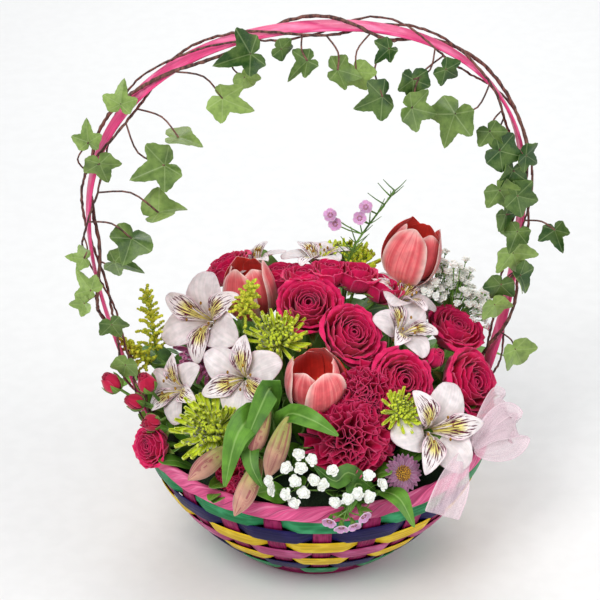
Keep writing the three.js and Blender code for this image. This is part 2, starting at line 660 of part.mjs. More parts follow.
const SPIDERS = [
  { name: 'spider_mum_centre', kind: 'spider', at: [-34, -36, 212], size: 30, facing: [-0.1, -0.6, 0.8], seed: 31 },
  { name: 'spider_mum_left', kind: 'spider', at: [-100, -74, 160], size: 33, facing: [-0.4, -0.6, 0.7], seed: 32 },
  { name: 'spider_mum_back', kind: 'spider', at: [38, 62, 220], size: 26, facing: [0.1, 0.1, 1], seed: 33 },
  { name: 'spider_mum_half_open', kind: 'pompon', at: [44, -94, 176], size: 17, facing: [0.3, -0.7, 0.7], seed: 34 },
];
const PINK_POMPON = {
  name: 'pompon_pink_left', kind: 'pompon', at: [-92, 4, 184], size: 20, facing: [-0.5, -0.6, 0.6], seed: 51,
};
const MAUVE_DAISY = {
  name: 'daisy_mauve_front', kind: 'daisy', at: [48, -128, 136], size: 19, facing: [0.2, -0.85, 0.5], seed: 52,
};
const ALSTROEMERIAS = [
  { name: 'alstroemeria_front_right', at: [80, -100, 156], size: 42, facing: [0.2, -0.8, 0.55], seed: 41 },
  { name: 'alstroemeria_left', at: [-72, -56, 196], size: 36, facing: [-0.35, -0.75, 0.55], seed: 42 },
  { name: 'alstroemeria_upper_left', at: [-92, 12, 214], size: 40, facing: [-0.5, -0.6, 0.6], seed: 43 },
  { name: 'alstroemeria_side_left', at: [-122, -26, 172], size: 30, facing: [-0.75, -0.4, 0.5], seed: 44 },
];
const ALSTROEMERIA_SPRAYS = [
  {
    name: 'alstroemeria_right_pair',
    kind: 'smallAlstroemeria',
    fork: [60, -8, 176],
    heads: [
      { at: [68, -26, 208], size: 24, facing: [0.4, -0.4, 0.8], seed: 45 },
      { at: [74, 10, 218], size: 25, facing: [0.5, 0, 0.85], seed: 46 },
    ],
  },
  {
    name: 'alstroemeria_back_pair',
    kind: 'smallAlstroemeria',
    fork: [-14, 62, 186],
    heads: [
      { at: [12, 60, 234], size: 26, facing: [0, 0.2, 1], seed: 47 },
      { at: [-40, 76, 226], size: 24, facing: [-0.3, 0.3, 0.9], seed: 48 },
    ],
  },
];

function addFlowers() {
  for (const carnation of CARNATIONS) addBloom(carnation, { color: 0xa3124f, roughness: 0.75 });
  for (const rose of ROSES) addBloom(rose, ROSE_PINK);
  for (const tulip of TULIPS) addBloom(tulip, { color: 0xe8656b, roughness: 0.45 });
  for (const spray of [BACK_ROSES, BACK_LEFT_ROSES]) addSpray(spray, ROSE_PINK);
  addBloom(RIGHT_BUD, ROSE_PINK);
  addSpray(LEFT_BUDS, { color: 0xb0123c, roughness: 0.6 });
  for (const spider of SPIDERS) addBloom(spider, { color: 0xc6d834, roughness: 0.6 });
  addBloom(PINK_POMPON, { color: 0xdf75b3, roughness: 0.7 });
  addBloom(MAUVE_DAISY, { color: 0xa5608c, roughness: 0.7 });
  for (const bloom of ALSTROEMERIAS) addBloom({ ...bloom, kind: 'alstroemeria' }, PETAL_WHITE);
  for (const spray of ALSTROEMERIA_SPRAYS) addSpray(spray, PETAL_WHITE);
  for (const goldenrod of GOLDENRODS) addSpray(goldenrod, { color: 0xb9b72a, roughness: 0.8 });
}

// ---- Lily buds and long leaves ----

const LILY_BUDS = [
  { at: [-108, -110, 152], length: 26, facing: [-0.6, -0.5, -0.1], seed: 61 },
  { at: [-80, -132, 140], length: 27, facing: [-0.45, -0.6, -0.45], seed: 62 },
  { at: [-52, -122, 168], length: 27, facing: [-0.15, -0.45, 0.75], seed: 63 },
  { at: [-68, -116, 164], length: 24, facing: [-0.45, -0.5, 0.6], seed: 64 },
];
const LILY_FORK = [-50, -94, 142];

function addLilyBuds() {
  const heads = LILY_BUDS.map(({ at, length, facing, seed }) => ({ at, size: length, facing, seed }));
  addSpray({ name: 'lily_buds', kind: 'lilyBud', fork: LILY_FORK, heads, branchRadius: 1.8 },
    { color: 0xd08a6c, roughness: 0.55 });
}

// A long leaf along its points, widest below its middle and folded along its rib.
function longLeaf(points, width, facing, { along = 3, fold = 0.2, thickness = BLADE_THICKNESS } = {}) {
  const spine = new THREE.CatmullRomCurve3(points.map((point) => vec(...point)));
  const up = vec(...facing).normalize();
  return blade((u, v) => {
    const side = spine.getTangent(v).cross(up).normalize();
    const half = width * 0.5 * Math.max(Math.sin(Math.PI * 0.96 * v ** 0.8), 0.06);
    return spine.getPoint(v).addScaledVector(side, u * half).addScaledVector(up, Math.abs(u) * half * fold);
  }, 2, along, thickness);
}

const LEAF_SPACING = 5; // along the stalk, from one leaf to the next
const LEAF_BUNCHES = [
  {
    name: 'lily_leaves',
    top: [-58, -80, 150],
    leaves: [
      { points: [[-52, -88, 182], [-72, -104, 180], [-98, -120, 158]], width: 20, facing: [-0.2, -0.8, 0.6] },
      { points: [[-66, -98, 158], [-72, -116, 158], [-76, -134, 142]], width: 18, facing: [-0.2, -0.5, 0.8] },
    ],
  },
  {
    name: 'leaf_front',
    top: [28, -134, 123],
    leaves: [
      { points: [[35, -146, 130], [43, -159, 128], [53, -171, 108]], width: 19, facing: [0.1, -0.4, 0.9] },
    ],
  },
  {
    name: 'leaves_left',
    top: [-108, 36, 126],
    leaves: [
      { points: [[-130, 36, 142], [-150, 30, 152], [-172, 28, 142]], width: 20, facing: [-0.2, 0.1, 1] },
      { points: [[-120, 54, 144], [-136, 70, 154], [-150, 84, 142]], width: 24, facing: [-0.2, 0.2, 1] },
    ],
  },
  {
    name: 'leaves_right',
    top: [112, 20, 128],
    leaves: [
      { points: [[134, 26, 140], [154, 28, 146], [176, 32, 136]], width: 22, facing: [0.2, 0.1, 1] },
      { points: [[124, 44, 142], [142, 60, 150], [156, 74, 138]], width: 24, facing: [0.2, 0.3, 1] },
    ],
  },
  {
    name: 'leaves_back',
    top: [0, 104, 134],
    leaves: [
      { points: [[-44, 118, 164], [-72, 128, 166], [-98, 134, 148]], width: 24, facing: [0, 0.5, 0.9] },
      { points: [[44, 118, 164], [74, 128, 168], [100, 130, 150]], width: 24, facing: [0, 0.5, 0.9] },
      { points: [[6, 132, 168], [4, 148, 170], [-2, 166, 154]], width: 26, facing: [0, 0.4, 0.9] },
      { points: [[-12, 116, 176], [-20, 116, 198], [-24, 124, 212]], width: 22, facing: [0, 0.8, 0.5] },
    ],
  },
];

// Leaves on one stalk, each from its own place on it.
function addLeafBunch({ name, top, leaves }) {
  const crown = vec(...top);
  const root = rootBelow(crown);
  const down = root.clone().sub(crown).normalize();
  const blades = leaves.map(({ points, width, facing }, i) => {
    const start = crown.clone().addScaledVector(down, 1 + i * LEAF_SPACING);
    const shape = longLeaf([start.toArray(), ...points], width, facing);
    const corners = cornersOf(shape);
    const half = corners.length / 2;
    const rows = Array.from({ length: half / 3 - 1 }, (_, row) => 3 * row);
    const rooms = rows.map((row) => roomAround([row, half + row].flatMap((from) => corners.slice(from, from + 6))));
    return { solid: solidOf(shape), rooms, corners: null, middle: vec(...points[0]) };
  });
  grow(name, blades, [{ points: [crown, root], radius: STEM_RADIUS }], GREEN);
}

// ---- Fine sprays ----

// Baby's breath: florets on thin stalks from each fork; every fork after the first grows from the one before.
function addBabysBreath({ name, clusters, size, petals, seed }) {
  const knots = clusters.map(({ fork }) => vec(...fork));
  const stalks = knots.map((knot, i) => ({ points: [knot, i ? knots[i - 1] : rootBelow(knot)], radius: 1.4 }));
  const florets = clusters.flatMap(({ places }, cluster) => places.map((place, i) => {
    const at = vec(...place);
    const start = knots[cluster].clone().lerp(at, FORK_SIZE / 2 / knots[cluster].distanceTo(at));
    return floret(at, start, size, petals, seed + 10 * cluster + i);
  }));
  grow(name, knots.map((knot) => knotHead(knot, FORK_SIZE)), stalks, { color: 0xf7f6ee, roughness: 0.8 }, florets);
}

// The swelling where branches fork.
function knotHead(at, size) {
  const shape = new THREE.OctahedronGeometry(size).translate(at.x, at.y, at.z);
  const corners = cornersOf(shape);
  return { solid: solidOf(shape), rooms: [roomAround(corners)], corners, middle: at };
}

// Waxflower: five-petalled flowers and needle leaves on a forking twig.
function addWaxflower({ name, twig, flowers, flowerSize, needles, needleLength, seed }) {
  const random = randomFrom(seed);
  const points = twig.map((point) => vec(...point));
  const knots = new THREE.CatmullRomCurve3(points).getSpacedPoints(TWIG_STEPS);
  const twigs = [{ points, radius: TWIG_RADIUS, options: { steps: TWIG_STEPS } }];
  const florets = flowers.map(({ at, from }, i) => floret(vec(...at), knots[from], flowerSize, 5, seed + i));
  for (let i = 0; i < needles; i++) {
    const start = knots[TWIG_STEPS - 1 - (i % 2)].clone().lerp(knots[TWIG_STEPS - (i % 2)], 0.3 + 0.4 * random());
    const angle = i * 2.1 + random();
    const side = vec(Math.cos(angle), 0.5 * Math.sin(angle), 0.7).setLength(needleLength);
    twigs.push({ points: [start.clone().add(side), start], radius: NEEDLE_RADIUS });
  }
  grow(name, [], twigs, { color: 0xcf8fc0, roughness: 0.6 }, florets);
}

function addFineSprays() {
  BABYS_BREATH.forEach(addBabysBreath);
  WAXFLOWERS.forEach(addWaxflower);
}

const FORK_SIZE = 5;
const BABYS_BREATH = [
  {
    name: 'babys_breath_front', size: 6, petals: 3, seed: 71,
    clusters: [
      { fork: [-38, -122, 140], places: [[-33, -144, 164], [-47, -140, 160], [-24, -146, 152], [-52, -142, 140]] },
      {
        fork: [-12, -136, 130],
        places: [[-26, -152, 142], [-12, -154, 148], [-2, -156, 138], [-36, -150, 130], [-18, -158, 128]],
      },
      { fork: [20, -142, 129], places: [[14, -158, 142], [18, -164, 129]] },
    ],
  },
  {
    name: 'babys_breath_back', size: 7, petals: 3, seed: 101,
    clusters: [
      {
        fork: [108, 42, 184],
        places: [[86, 44, 212], [98, 30, 214], [102, 54, 218], [116, 40, 220], [120, 58, 210], [130, 30, 204]],
      },
      {
        fork: [124, 28, 174],
        places: [[142, 22, 196], [146, 40, 188], [140, 52, 196], [150, 14, 182], [130, 12, 196], [152, 30, 174]],
      },
    ],
  },
];
const TWIG_STEPS = 5;
const TWIG_RADIUS = 1.3;
const NEEDLE_RADIUS = 0.7;
const WAXFLOWERS = [
  {
    name: 'waxflower_top', twig: [[12, 18, 90], [34, 44, 214], [40, 46, 250], [76, 50, 300]],
    flowers: [{ at: [20, 46, 284], from: 4 }, { at: [44, 40, 282], from: 4 }, { at: [64, 48, 304], from: 5 }],
    flowerSize: 7, needles: 6, needleLength: 13, seed: 131,
  },
  {
    name: 'waxflower_front', twig: [[2, -52, 90], [4, -112, 130], [4, -148, 134], [2, -162, 112]],
    flowers: [{ at: [-16, -161, 101], from: 5 }, { at: [-1, -163, 94], from: 5 }, { at: [14, -165, 104], from: 5 }],
    flowerSize: 6.5, needles: 2, needleLength: 9, seed: 141,
  },
];

const GOLDENRODS = [
  {
    name: 'goldenrod_left',
    kind: 'plume',
    fork: [-126, 20, 168],
    heads: [
      { at: [-136, 28, 206], size: 34, facing: [-0.1, 0.1, 1], seed: 151 },
      { at: [-150, 10, 188], size: 24, facing: [-0.6, -0.3, 0.8], seed: 152 },
    ],
  },
  {
    name: 'goldenrod_centre',
    kind: 'plume',
    fork: [-64, -6, 196],
    heads: [{ at: [-62, -10, 244], size: 20, facing: [-0.05, -0.1, 1], seed: 153 }],
  },
];

// ---- Ribbon ----

const RIBBON = {
  knot: [112, -98, 131],
  knotSize: 8,
  pick: 1.2, // radius of the wire that holds the knot in the foam
  thickness: 2.4,
  gathered: 0.12, // half the width at the knot, as a share of the full width
  opened: 0.38, // how much of the width opens along a band
  bands: [
    {
      points: [[115, -96, 130], [134, -84, 142], [156, -66, 136], [168, -56, 122]],
      facing: [0.4, -0.6, 0.6],
      width: 34,
    },
    {
      points: [[113, -95, 134], [132, -78, 152], [150, -56, 152], [160, -40, 142]],
      facing: [0.5, -0.4, 0.7],
      width: 30,
    },
    {
      points: [[110, -101, 130], [98, -122, 130], [84, -138, 118], [72, -146, 92]],
      facing: [0.3, -0.9, 0.3],
      width: 30,
    },
  ],
};

function addRibbon() {
  const knot = vec(...RIBBON.knot);
  const heads = RIBBON.bands.map(({ points, facing, width }) => {
    const spine = new THREE.CatmullRomCurve3(points.map((point) => vec(...point)));
    const up = vec(...facing).normalize();
    const shape = blade((u, v) => {
      const side = spine.getTangent(v).cross(up).normalize();
      const half = width * (RIBBON.gathered + RIBBON.opened * Math.sin(Math.PI * 0.6 * v));
      return spine.getPoint(v).addScaledVector(side, u * half);
    }, 1, 3, RIBBON.thickness);
    return { solid: solidOf(shape), rooms: [], corners: null, middle: vec(...points[1]) };
  });
  heads.push(knotHead(knot, RIBBON.knotSize));
  const pick = { points: [knot, rootBelow(knot)], radius: RIBBON.pick };
  grow('ribbon_bow', heads, [pick], { color: 0xf3d6de, roughness: 0.35 });
}

// ---- Ivy ----

const VINE = { radius: 1.5, petiole: 0.8, outside: 6, inside: 6.5, aside: 13.6, turns: 5, sections: 30, fewest: 4 };
const PETIOLE_SINK = 0.4; // how far a leaf's stalk ends in front of the leaf's foot
// Each leaf: where its base lies (x, y, z), its size, where its tip points in the arch's plane, in degrees from +X,
// and how far its face leans back from the front.
const IVY = [
  {
    name: 'ivy_left_low', from: -0.99, to: -0.66, phase: 0,
    leaves: [
      { at: [-174, -26, 240], size: 17, tip: -70, lean: 10 }, { at: [-196, -26, 262], size: 13, tip: 190, lean: 20 },
      { at: [-190, -29, 276], size: 17, tip: 130, lean: 30 }, { at: [-164, -26, 200], size: 14, tip: -110, lean: 15 },
    ],
  },
  {
    name: 'ivy_left_middle', from: -0.655, to: -0.42, phase: 0,
    leaves: [
      { at: [-194, -25, 303], size: 14, tip: 170, lean: 10 }, { at: [-170, -30, 300], size: 20, tip: -20, lean: 30 },
      { at: [-156, -33, 322], size: 20, tip: -110, lean: 50 }, { at: [-134, -34, 344], size: 19, tip: 10, lean: 75 },
      { at: [-186, -26, 407], size: 15, tip: 95, lean: 15 }, { at: [-178, -27, 388], size: 18, tip: -80, lean: 20 },
    ],
  },
  {
    name: 'ivy_left_high', from: -0.415, to: -0.2, phase: 0,
    leaves: [
      { at: [-128, -35, 386], size: 25, tip: 200, lean: 55 }, { at: [-116, -32, 408], size: 16, tip: -10, lean: 70 },
      { at: [-160, -27, 438], size: 17, tip: 80, lean: 20 }, { at: [-80, -26, 436], size: 24, tip: -30, lean: 10 },
    ],
  },
  {
    name: 'ivy_top_left', from: -0.195, to: 0.03, phase: 0,
    leaves: [
      { at: [-58, -30, 474], size: 26, tip: -170, lean: 25 }, { at: [-62, -25, 452], size: 13, tip: -60, lean: 10 },
      { at: [-33, -25, 474], size: 12, tip: -20, lean: 10 }, { at: [-14, -33, 466], size: 20, tip: 190, lean: 55 },
      { at: [10, -33, 456], size: 20, tip: -10, lean: 50 },
    ],
  },
  {
    name: 'ivy_top_right', from: 0.04, to: 0.26, phase: 2.6,
    leaves: [
      { at: [26, -27, 450], size: 18, tip: -70, lean: 20 }, { at: [46, -33, 430], size: 22, tip: 200, lean: 45 },
      { at: [70, -33, 418], size: 22, tip: -20, lean: 45 }, { at: [72, -27, 440], size: 18, tip: -90, lean: 15 },
      { at: [52, -27, 468], size: 15, tip: -150, lean: 20 }, { at: [98, -26, 446], size: 16, tip: -40, lean: 10 },
    ],
  },
  {
    name: 'ivy_right_high', from: 0.265, to: 0.47, phase: 2.6,
    leaves: [
      { at: [106, -29, 408], size: 27, tip: -120, lean: 20 }, { at: [136, -26, 388], size: 17, tip: -60, lean: 15 },
      { at: [144, -30, 372], size: 20, tip: -20, lean: 35 }, { at: [156, -28, 352], size: 20, tip: -100, lean: 20 },
      { at: [146, -26, 334], size: 20, tip: -60, lean: 10 },
    ],
  },
  {
    name: 'ivy_right_low', from: 0.475, to: 0.99, phase: 2.6,
    leaves: [
      { at: [152, -28, 312], size: 19, tip: -60, lean: 20 }, { at: [194, -29, 294], size: 18, tip: -80, lean: 30 },
      { at: [160, -26, 274], size: 25, tip: -70, lean: 10 }, { at: [150, -29, 246], size: 17, tip: -110, lean: 30 },
      { at: [146, -27, 226], size: 17, tip: -70, lean: 20 }, { at: [166, -27, 180], size: 20, tip: -60, lean: 15 },
    ],
  },
];
const IVY_MIDDLE = 0.3; // from a leaf's base to its cupped middle, as a share of its size
const LEAF_OUTLINE = [[0, 1], [34, 0.52], [66, 0.86], [122, 0.64], [180, 0.16], [238, 0.64], [294, 0.86], [326, 0.52]];

function vinePoint(t, phase) {
  const angle = phase + t * VINE.turns * Math.PI;
  const out = Math.sin(angle);
  return besideArch(t, out * (out > 0 ? VINE.outside : VINE.inside), VINE.aside * Math.cos(angle));
}

// A lobed leaf: eight corners round its base, cupped about its middle, with both faces split alike.
function ivyLeaf({ at, size, tip, lean }, seed) {
  const random = randomFrom(seed);
  const cup = 0.1 + 0.12 * random();
  const rings = [[0, 1], [1, 1], [1, 0], [0, 0]];
  const shape = turned(rings, LEAF_OUTLINE.length, (turn, ring) => {
    const [degrees, reach] = LEAF_OUTLINE[turn];
    const [share, side] = rings[ring];
    const angle = THREE.MathUtils.degToRad(degrees);
    const length = share * reach * size;
    const height = side * (share ? BLADE_THICKNESS : 2 * BLADE_THICKNESS) - cup * share * reach * size;
    return vec(share ? length * Math.cos(angle) : IVY_MIDDLE * size, length * Math.sin(angle), height);
  });
  shape.rotateZ(THREE.MathUtils.degToRad(tip));
  shape.rotateX(THREE.MathUtils.degToRad(90 - lean));
  shape.translate(...at);
  const corners = cornersOf(shape);
  return { solid: solidOf(shape), rooms: [roomAround(corners)], corners, middle: vec(...at) };
}

const handleRoom = handleSolid(SEAT_GAP);

function addIvy({ name, from, to, phase, leaves }, index) {
  const sections = Math.max(VINE.fewest, Math.round((to - from) * VINE.sections));
  const vine = Array.from({ length: sections + 1 }, (_, i) => vinePoint(from + ((to - from) * i) / sections, phase));
  const heads = leaves.map((leaf, i) => ivyLeaf(leaf, 200 + 10 * index + i));
  const knots = new THREE.CatmullRomCurve3(vine).getSpacedPoints(sections);
  const starts = knots.slice(1).map((knot, i) => ({
    start: knot.clone().lerp(knots[i], 0.5),
    ahead: knot.clone().sub(knots[i]),
  }));
  const earlier = growing.filter((piece) => piece.name.startsWith('ivy'));
  const blocked = [handleRoom, ...earlier.map(({ sleeves }) => sleeves)];
  const clear = ({ points, radius }) => blocked.every((room) => !stalk(points, radius).intersect(room).volume());
  const stalks = [{ points: vine, radius: VINE.radius, options: { steps: sections } }];
  for (const { at } of leaves) {
    const hub = vec(...at).add(vec(0, -PETIOLE_SINK, 0));
    const petioles = starts.map(({ start, ahead }) => {
      const along = Math.abs(ahead.clone().normalize().dot(hub.clone().sub(start)));
      return { points: [hub, start], radius: VINE.petiole, cost: start.distanceTo(hub) + along };
    });
    stalks.push(petioles.filter(clear).reduce((best, next) => (next.cost < best.cost ? next : best)));
  }
  grow(name, heads, stalks, { color: 0x4a7d2b, roughness: 0.55 });
}

// ---- Assembly ----

addBasketWall();
addNode('rim_wrapped', rimSolid(), { color: 0xe9709f, roughness: 0.45 });
addNode('handle_band', handleSolid(), { color: 0xf06a9a, roughness: 0.4 });
addNode('liner_bowl', linerSolid(), { color: 0x1f2a22, roughness: 0.4 });

addLilyBuds();
addFlowers();
addRibbon();
addFineSprays();
LEAF_BUNCHES.forEach(addLeafBunch);
IVY.forEach(addIvy);

const holder = holderRoom();
growing.forEach((piece, index) => {
  const heads = piece.heads.map(({ solid, middle }) => {
    let cut = without(solid, holder);
    growing.forEach((other, otherIndex) => {
      if (other !== piece) cut = without(cut, other.sleeves);
      if (otherIndex < index) cut = other.heads.reduce((left, blocker) => giveWay(left, middle, blocker), cut);
    });
    return cut;
  });
  addNode(piece.name, largest(joined([...heads, piece.stems])), piece.finish);
});

const holes = growing.filter(({ name }) => !name.startsWith('ivy')).map(({ sleeves }) => sleeves);
addNode('floral_foam', holes.reduce(without, foamSolid()), { color: 0x2e4a30, roughness: 0.95 });

export default arrangement;
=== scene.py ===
"""A flower basket arrangement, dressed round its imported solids.

A woven basket with a fixed hoop handle holds cut flowers in floral foam, with a sheer bow on the rim and ivy wound
round the handle. Places are in millimetres in the model's own frame, and become metres where a mesh is made.
"""

import logging
import random
from dataclasses import dataclass, replace
from enum import Enum
from functools import cache
from math import atan2, copysign, cos, degrees, hypot, pi, radians, sin, sqrt
from typing import Callable, Sequence

import bmesh
import bpy
from mathutils import Matrix, Vector


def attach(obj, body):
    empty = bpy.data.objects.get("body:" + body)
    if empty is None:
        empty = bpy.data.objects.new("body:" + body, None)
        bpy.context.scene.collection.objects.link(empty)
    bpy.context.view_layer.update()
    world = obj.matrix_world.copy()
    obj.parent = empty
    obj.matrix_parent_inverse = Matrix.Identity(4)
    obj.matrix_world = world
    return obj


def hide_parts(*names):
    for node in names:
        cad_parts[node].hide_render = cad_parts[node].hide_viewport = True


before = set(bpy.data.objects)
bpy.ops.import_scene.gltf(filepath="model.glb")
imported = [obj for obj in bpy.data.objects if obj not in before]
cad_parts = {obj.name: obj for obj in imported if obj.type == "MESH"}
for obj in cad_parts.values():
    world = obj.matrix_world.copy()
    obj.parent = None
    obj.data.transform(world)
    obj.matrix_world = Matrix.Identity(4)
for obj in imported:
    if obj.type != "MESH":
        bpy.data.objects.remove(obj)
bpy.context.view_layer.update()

LOG = logging.getLogger("flower_basket")
MM = 0.001
GOLDEN_ANGLE = 2.39996  # radians from each petal or branch to the next
THIRD, FIFTH = 2 * pi / 3, 1.257  # radians between petals in threes and in fives
SHARP = 1.1  # radians between two faces whose edge stays crisp
BODY = "root"

Point = tuple[float, float, float]
Pair = tuple[float, float]
Bend = Callable[[float, float], Vector]


def curve(values: Sequence[Sequence[float]], t: float) -> list[float]:
    """Reads a smooth curve through evenly spaced values.

    Args:
        values: The values that the curve goes through, each a sequence of numbers.
        t: Where along it, from 0 to 1.

    Returns:
        The numbers at t.
    """
    last = len(values) - 1
    place = min(max(t, 0.0), 1.0) * last
    i = min(int(place), last - 1)
    f = place - i
    a, b, c, d = (values[min(max(i + k, 0), last)] for k in (-1, 0, 1, 2))
    return [
        0.5 * (2 * q + (r - p) * f + (2 * p - 5 * q + 4 * r - s) * f**2 + (3 * q - p - 3 * r + s) * f**3)
        for p, q, r, s in zip(a, b, c, d)
    ]


def curve_point(points: Sequence[Point], t: float) -> Vector:
    """Reads a smooth curve through points as a vector, from 0 to 1."""
    return Vector(curve(points, t))


def bent(points: Sequence[Point], steps: int) -> list[Vector]:
    """Gives evenly spaced places on a smooth curve through points."""
    return [curve_point(points, i / steps) for i in range(steps + 1)]


def strip(points: Sequence[Vector], up: Vector, v: float) -> tuple[Vector, Vector, Vector]:
    """Gives the middle of a strip at v along, which way it runs there, and its side."""
    ahead = curve_point(points, min(v + 0.02, 1)) - curve_point(points, max(v - 0.02, 0))
    return curve_point(points, v), ahead, ahead.cross(up).normalized()


def between(low: float, high: float, t: float) -> float:
    """Goes from low to high as t goes from 0 to 1."""
    return low + (high - low) * t


def smooth(edge: float, full: float, value: float) -> float:
    """Rises smoothly from 0 at edge to 1 at full."""
    share = min(max((value - edge) / (full - edge), 0.0), 1.0)
    return share * share * (3 - 2 * share)


def squared(value: float, power: float) -> float:
    """Flattens a sine or cosine towards a square's, and keeps its sign."""
    return copysign(abs(value) ** power, value)


def polar(reach: float, angle: float, z: float = 0.0) -> Vector:
    """Gives the place at a distance from the axis, a bearing and a height."""
    return Vector((reach * cos(angle), reach * sin(angle), z))


def turned(angle: float, axis: str) -> Matrix:
    """Gives a turn about an axis."""
    return Matrix.Rotation(angle, 3, axis)


def scatter(chance: random.Random, reach: float) -> Vector:
    """Gives a small random shift."""
    return Vector(chance.uniform(-reach, reach) for _ in range(3))


# ---- Materials ----


Colour = tuple[float, float, float]


def dye(code: str) -> Colour:
    """Turns a hex colour into linear light."""
    parts = [int(code[i : i + 2], 16) / 255 for i in (1, 3, 5)]
    return tuple(part / 12.92 if part <= 0.04045 else ((part + 0.055) / 1.055) ** 2.4 for part in parts)


def shade(code: str, share: float) -> Colour:
    """Makes a hex colour darker, or lighter where the share is over 1."""
    return tuple(min(part * share, 1.0) for part in dye(code))


class Wire:
    """What one shader node gives out, which sums can be done with."""

    def __init__(self, palette: "Palette", socket: bpy.types.NodeSocket) -> None:
        """Keeps the socket with its material."""
        self.palette, self.socket = palette, socket

    def sum(self, kind: str, other: object = 0.0, clamp: bool = False) -> "Wire":
        """Works out one sum."""
        return self.palette.put("ShaderNodeMath", {0: self, 1: other}, operation=kind, use_clamp=clamp)

    def __add__(self, other: object) -> "Wire":
        """Adds."""
        return self.sum("ADD", other)

    def __sub__(self, other: object) -> "Wire":
        """Takes away."""
        return self.sum("SUBTRACT", other)

    def __mul__(self, other: object) -> "Wire":
        """Multiplies."""
        return self.sum("MULTIPLY", other)

    def __abs__(self) -> "Wire":
        """Drops the sign."""
        return self.sum("ABSOLUTE")

    def rise(self, low: float, high: float, start: float = 0.0, end: float = 1.0) -> "Wire":
        """Goes smoothly from start to end as this goes from low to high."""
        inputs = {0: self, 1: low, 2: high, 3: start, 4: end}
        return self.palette.put("ShaderNodeMapRange", inputs, interpolation_type="SMOOTHSTEP")


class Palette:
    """Lays out the shader nodes of one material."""

    def __init__(self, name: str) -> None:
        """Starts a material with one principled shader."""
        self.material = bpy.data.materials.new(name)
        self.material.use_nodes = True
        self.tree = self.material.node_tree
        self.shader = self.tree.nodes["Principled BSDF"]

    def join(self, value: object, socket: bpy.types.NodeSocket) -> None:
        """Leads a wire into a socket, or sets the socket to a number, a colour or its hex code."""
        if isinstance(value, Wire):
            self.tree.links.new(value.socket, socket)
            return
        if isinstance(value, str):
            value = dye(value)
        socket.default_value = (*value, 1.0) if socket.type == "RGBA" else value

    def put(self, kind: str, inputs: dict | None = None, out: int | str = 0, **settings: object) -> Wire:
        """Adds a node.

        Args:
            kind: Its type.
            inputs: Values or wires for its inputs, by name or number.
            out: Which of its outputs is wanted.
            settings: Values for its own settings.

        Returns:
            What it gives out.
        """
        node = self.tree.nodes.new(kind)
        for key, value in settings.items():
            setattr(node, key, value)
        for key, value in (inputs or {}).items():
            self.join(value, node.inputs[key])
        return Wire(self, node.outputs[out])

    def surface(self, **values: object) -> None:
        """Sets the shader's inputs: `Base_Color` stands for "Base Color"."""
        for key, value in values.items():
            self.join(value, self.shader.inputs[key.replace("_", " ")])

    def place_on_petal(self) -> tuple[Wire, ...]:
        """Gives the place across, the place along and the tone that a mesh carries."""
        mark = self.put("ShaderNodeAttribute", out="Vector", attribute_name="petal")
        split = self.put("ShaderNodeSeparateXYZ", {0: mark})
        return tuple(Wire(self, socket) for socket in split.socket.node.outputs)

    def vector(self, x: object, y: object, z: object) -> Wire:
        """Joins three numbers."""
        return self.put("ShaderNodeCombineXYZ", {0: x, 1: y, 2: z})

    def solid_place(self) -> Wire:
        """Gives the place in the object, in metres."""
        return self.put("ShaderNodeTexCoord", out="Object")

    def noise(self, where: Wire, scale: float, detail: float = 3.0) -> Wire:
        """Gives a soft random pattern from 0 to 1."""
        return self.put("ShaderNodeTexNoise", {"Vector": where, "Scale": scale, "Detail": detail})

    def mix(self, share: object, a: object, b: object, kind: str = "MIX") -> Wire:
        """Mixes two colours."""
        return self.put("ShaderNodeMix", {0: share, 6: a, 7: b}, 2, data_type="RGBA", blend_type=kind)

    def deepened(self, colour: Wire, depth: Wire) -> Wire:
        """Multiplies a colour by one number."""
        return self.mix(1.0, colour, self.vector(depth, depth, depth), "MULTIPLY")

    def relief(self, height: Wire, distance: float, strength: float = 0.6) -> None:
        """Gives the surface a relief of the given depth, in millimetres."""
        inputs = {"Height": height, "Distance": distance * MM, "Strength": strength}
        self.surface(Normal=self.put("ShaderNodeBump", inputs))


@dataclass(frozen=True)
class Finish:
    """A finish, which is made once and then used again."""

    name: str

    @cache
    def material(self) -> bpy.types.Material:
        """Gives the material, and makes it the first time."""
        palette = Palette(self.name)
        self.lay_out(palette)
        return palette.material

    def lay_out(self, palette: Palette) -> None:
        """Lays out the shader.

        Args:
            palette: The material's nodes.
        """
        raise NotImplementedError


